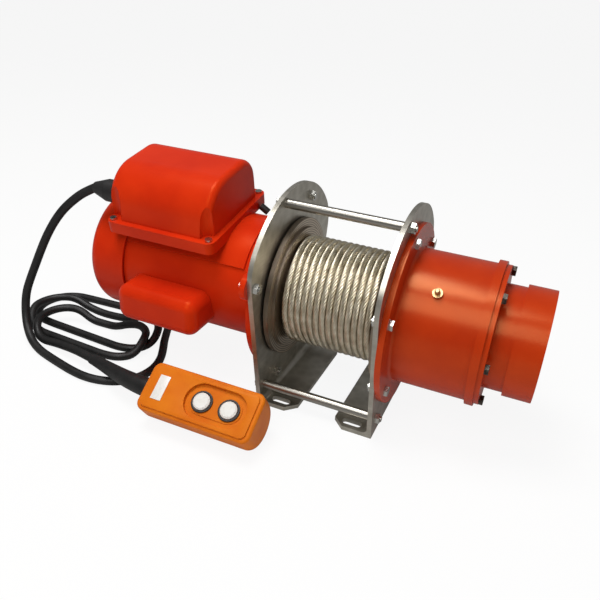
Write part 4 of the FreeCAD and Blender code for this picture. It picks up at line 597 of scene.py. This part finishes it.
# Cut gear steel: bright, with hob marks about 2 mm apart and a film of grease
gearSteel, tree, shader, place = newFinish("cut gear steel", Metallic=1.0)
hob = addNode(tree, "ShaderNodeTexNoise", {"Vector": place, "Scale": 500.0, "Detail": 3.0})
rough = addNode(tree, "ShaderNodeMapRange", {"Value": hob.outputs["Fac"], "To Min": 0.18, "To Max": 0.36})
ramp = addNode(tree, "ShaderNodeValToRGB", {"Fac": hob.outputs["Fac"]})
ramp.color_ramp.elements[0].color = linear("#A5A29C")
ramp.color_ramp.elements[1].color = linear("#C8C6C1")
tree.links.new(ramp.outputs["Color"], shader.inputs["Base Color"])
tree.links.new(rough.outputs[0], shader.inputs["Roughness"])
coatNodes(gearSteel, "drive_shaft",
          "stage_one_sun", "stage_one_ring_gear", "stage_one_carrier", "stage_one_pins",
          "stage_two_sun", "stage_two_ring_gear", "stage_two_carrier", "stage_two_pins",
          "stage_one_planet_a", "stage_one_planet_b", "stage_one_planet_c",
          "stage_two_planet_a", "stage_two_planet_b", "stage_two_planet_c")

# Ground bearing steel: near mirror, with grinding marks about 1.4 mm long
bearingSteel, tree, shader, place = newFinish("ground bearing steel", Metallic=1.0)
grind = addNode(tree, "ShaderNodeTexNoise", {"Vector": place, "Scale": 700.0})
rough = addNode(tree, "ShaderNodeMapRange", {"Value": grind.outputs["Fac"], "To Min": 0.1, "To Max": 0.22})
ramp = addNode(tree, "ShaderNodeValToRGB", {"Fac": grind.outputs["Fac"]})
ramp.color_ramp.elements[0].color = linear("#BABAB8")
ramp.color_ramp.elements[1].color = linear("#D2D2D0")
tree.links.new(ramp.outputs["Color"], shader.inputs["Base Color"])
tree.links.new(rough.outputs[0], shader.inputs["Roughness"])
coatNodes(bearingSteel, "motor_bearings", "drum_bearings")

# Stacked core sheets: dark steel with the edges of half-millimetre sheets, drawn 1 mm apart to show
coreSteel, tree, shader, place = newFinish("stacked core sheets", Metallic=0.9, Roughness=0.5)
sheets = addNode(tree, "ShaderNodeTexWave", {"Vector": place, "Scale": 300.0}, bands_direction="X")
ramp = addNode(tree, "ShaderNodeValToRGB", {"Fac": sheets.outputs["Fac"]})
ramp.color_ramp.elements[0].color = linear("#55555A")
ramp.color_ramp.elements[1].color = linear("#7C7C80")
tree.links.new(ramp.outputs["Color"], shader.inputs["Base Color"])
coatNodes(coreSteel, "stator_core", "rotor_core")

# Varnished copper winding: brown gloss with the lie of wires about 1.7 mm apart
copperWire, tree, shader, place = newFinish("varnished copper wire", Metallic=0.85, Roughness=0.32)
wires = addNode(tree, "ShaderNodeTexWave", {
    "Vector": place, "Scale": 180.0, "Distortion": 2.0}, bands_direction="X")
ramp = addNode(tree, "ShaderNodeValToRGB", {"Fac": wires.outputs["Fac"]})
ramp.color_ramp.elements[0].color = linear("#7A3A1C")
ramp.color_ramp.elements[1].color = linear("#B8673A")
tree.links.new(ramp.outputs["Color"], shader.inputs["Base Color"])
coatNodes(copperWire, "stator_windings")

# Cast bronze, machined: warm yellow metal with tool marks about 2.5 mm apart
bronze, tree, shader, place = newFinish("machined bronze", Metallic=1.0)
cut = addNode(tree, "ShaderNodeTexNoise", {"Vector": place, "Scale": 400.0, "Detail": 2.0})
rough = addNode(tree, "ShaderNodeMapRange", {"Value": cut.outputs["Fac"], "To Min": 0.22, "To Max": 0.4})
ramp = addNode(tree, "ShaderNodeValToRGB", {"Fac": cut.outputs["Fac"]})
ramp.color_ramp.elements[0].color = linear("#B4905E")
ramp.color_ramp.elements[1].color = linear("#DCBE92")
tree.links.new(ramp.outputs["Color"], shader.inputs["Base Color"])
tree.links.new(rough.outputs[0], shader.inputs["Roughness"])
coatNodes(bronze, "shaft_end_bush", "grease_nipple")

# Moulded black nylon: satin, with a spark-eroded grain, drawn as coarse as 1.1 mm to show
blackNylon, tree, shader, place = newFinish("moulded black nylon", Roughness=0.42, IOR=1.5)
grain = addNode(tree, "ShaderNodeTexNoise", {"Vector": place, "Scale": 900.0, "Detail": 2.0})
grainBump = addNode(tree, "ShaderNodeBump", {
    "Height": grain.outputs["Fac"], "Strength": 0.1, "Distance": 0.0002})
ramp = addNode(tree, "ShaderNodeValToRGB", {"Fac": grain.outputs["Fac"]})
ramp.color_ramp.elements[0].color = linear("#161515")
ramp.color_ramp.elements[1].color = linear("#232121")
tree.links.new(ramp.outputs["Color"], shader.inputs["Base Color"])
tree.links.new(grainBump.outputs["Normal"], shader.inputs["Normal"])
coatNodes(blackNylon, "cooling_fan", "cord_gland", "pendant_contact_block", "contactors")
# the button collars take the black nylon as painted shade for the gap round each button
for shadeCollar in (firstShadeCollar, secondShadeCollar):
    shadeCollar.data.materials.append(blackNylon)

# Deep drawn aluminium can of the capacitor: pale metal with draw lines about 50 mm long and 2 mm wide
canAluminium, tree, shader, place = newFinish("drawn aluminium can", Metallic=1.0)
draw = addNode(tree, "ShaderNodeMapping", {"Vector": place, "Scale": (20.0, 500.0, 500.0)})
lines = addNode(tree, "ShaderNodeTexNoise", {"Vector": draw.outputs[0], "Scale": 1.0, "Detail": 2.0})
rough = addNode(tree, "ShaderNodeMapRange", {"Value": lines.outputs["Fac"], "To Min": 0.25, "To Max": 0.45})
ramp = addNode(tree, "ShaderNodeValToRGB", {"Fac": lines.outputs["Fac"]})
ramp.color_ramp.elements[0].color = linear("#C0C0C2")
ramp.color_ramp.elements[1].color = linear("#DCDCDC")
tree.links.new(ramp.outputs["Color"], shader.inputs["Base Color"])
tree.links.new(rough.outputs[0], shader.inputs["Roughness"])
coatNodes(canAluminium, "run_capacitor")

# Extruded black rubber sheath: dull, with patches of dust about 17 mm wide
blackRubber, tree, shader, place = newFinish("extruded black rubber", IOR=1.5)
dust = addNode(tree, "ShaderNodeTexNoise", {"Vector": place, "Scale": 60.0, "Detail": 5.0})
ramp = addNode(tree, "ShaderNodeValToRGB", {"Fac": dust.outputs["Fac"]})
ramp.color_ramp.elements[0].position = 0.35
ramp.color_ramp.elements[0].color = linear("#0C0B0B")
ramp.color_ramp.elements[1].position = 0.8
ramp.color_ramp.elements[1].color = linear("#1C1A19")
rough = addNode(tree, "ShaderNodeMapRange", {"Value": dust.outputs["Fac"], "To Min": 0.4, "To Max": 0.62})
tree.links.new(ramp.outputs["Color"], shader.inputs["Base Color"])
tree.links.new(rough.outputs[0], shader.inputs["Roughness"])
controlCord.data.materials.append(blackRubber)
coatNodes(blackRubber, "control_cord", "cord_coil", "pendant_cord", "pendant_boot", "motor_lead")

# Moulded orange plastic of the pendant: satin gloss, clouds of colour about 30 mm wide, grain of 1.2 mm
pendantPlastic, tree, shader, place = newFinish("moulded orange plastic", Roughness=0.42, IOR=1.5,
                                                Specular_IOR_Level=0.3, Specular_Tint=linear("#FFC080"))
cloud = addNode(tree, "ShaderNodeTexNoise", {"Vector": place, "Scale": 35.0, "Detail": 3.0})
ramp = addNode(tree, "ShaderNodeValToRGB", {"Fac": cloud.outputs["Fac"]})
ramp.color_ramp.elements[0].position = 0.3
ramp.color_ramp.elements[0].color = linear("#CE6412")
ramp.color_ramp.elements[1].position = 0.7
ramp.color_ramp.elements[1].color = linear("#DA7618")
grain = addNode(tree, "ShaderNodeTexNoise", {"Vector": place, "Scale": 800.0, "Detail": 2.0})
grainBump = addNode(tree, "ShaderNodeBump", {
    "Height": grain.outputs["Fac"], "Strength": 0.08, "Distance": 0.0002})
tree.links.new(ramp.outputs["Color"], shader.inputs["Base Color"])
tree.links.new(grainBump.outputs["Normal"], shader.inputs["Normal"])
coatNodes(pendantPlastic, "pendant_upper_shell", "pendant_lower_shell")
facePanel.data.materials.append(pendantPlastic)

# White button plastic, polished by thumbs: clean gloss with duller spots about 7 mm wide
buttonPlastic, tree, shader, place = newFinish("polished white plastic", IOR=1.5)
thumb = addNode(tree, "ShaderNodeTexNoise", {"Vector": place, "Scale": 150.0, "Detail": 3.0})
rough = addNode(tree, "ShaderNodeMapRange", {"Value": thumb.outputs["Fac"], "To Min": 0.2, "To Max": 0.36})
ramp = addNode(tree, "ShaderNodeValToRGB", {"Fac": thumb.outputs["Fac"]})
ramp.color_ramp.elements[0].color = linear("#DFDBD3")
ramp.color_ramp.elements[1].color = linear("#ECEAE6")
tree.links.new(ramp.outputs["Color"], shader.inputs["Base Color"])
tree.links.new(rough.outputs[0], shader.inputs["Roughness"])
coatNodes(buttonPlastic, "button_up", "button_down")
barePlate.data.materials.append(buttonPlastic)
print("finishes set")
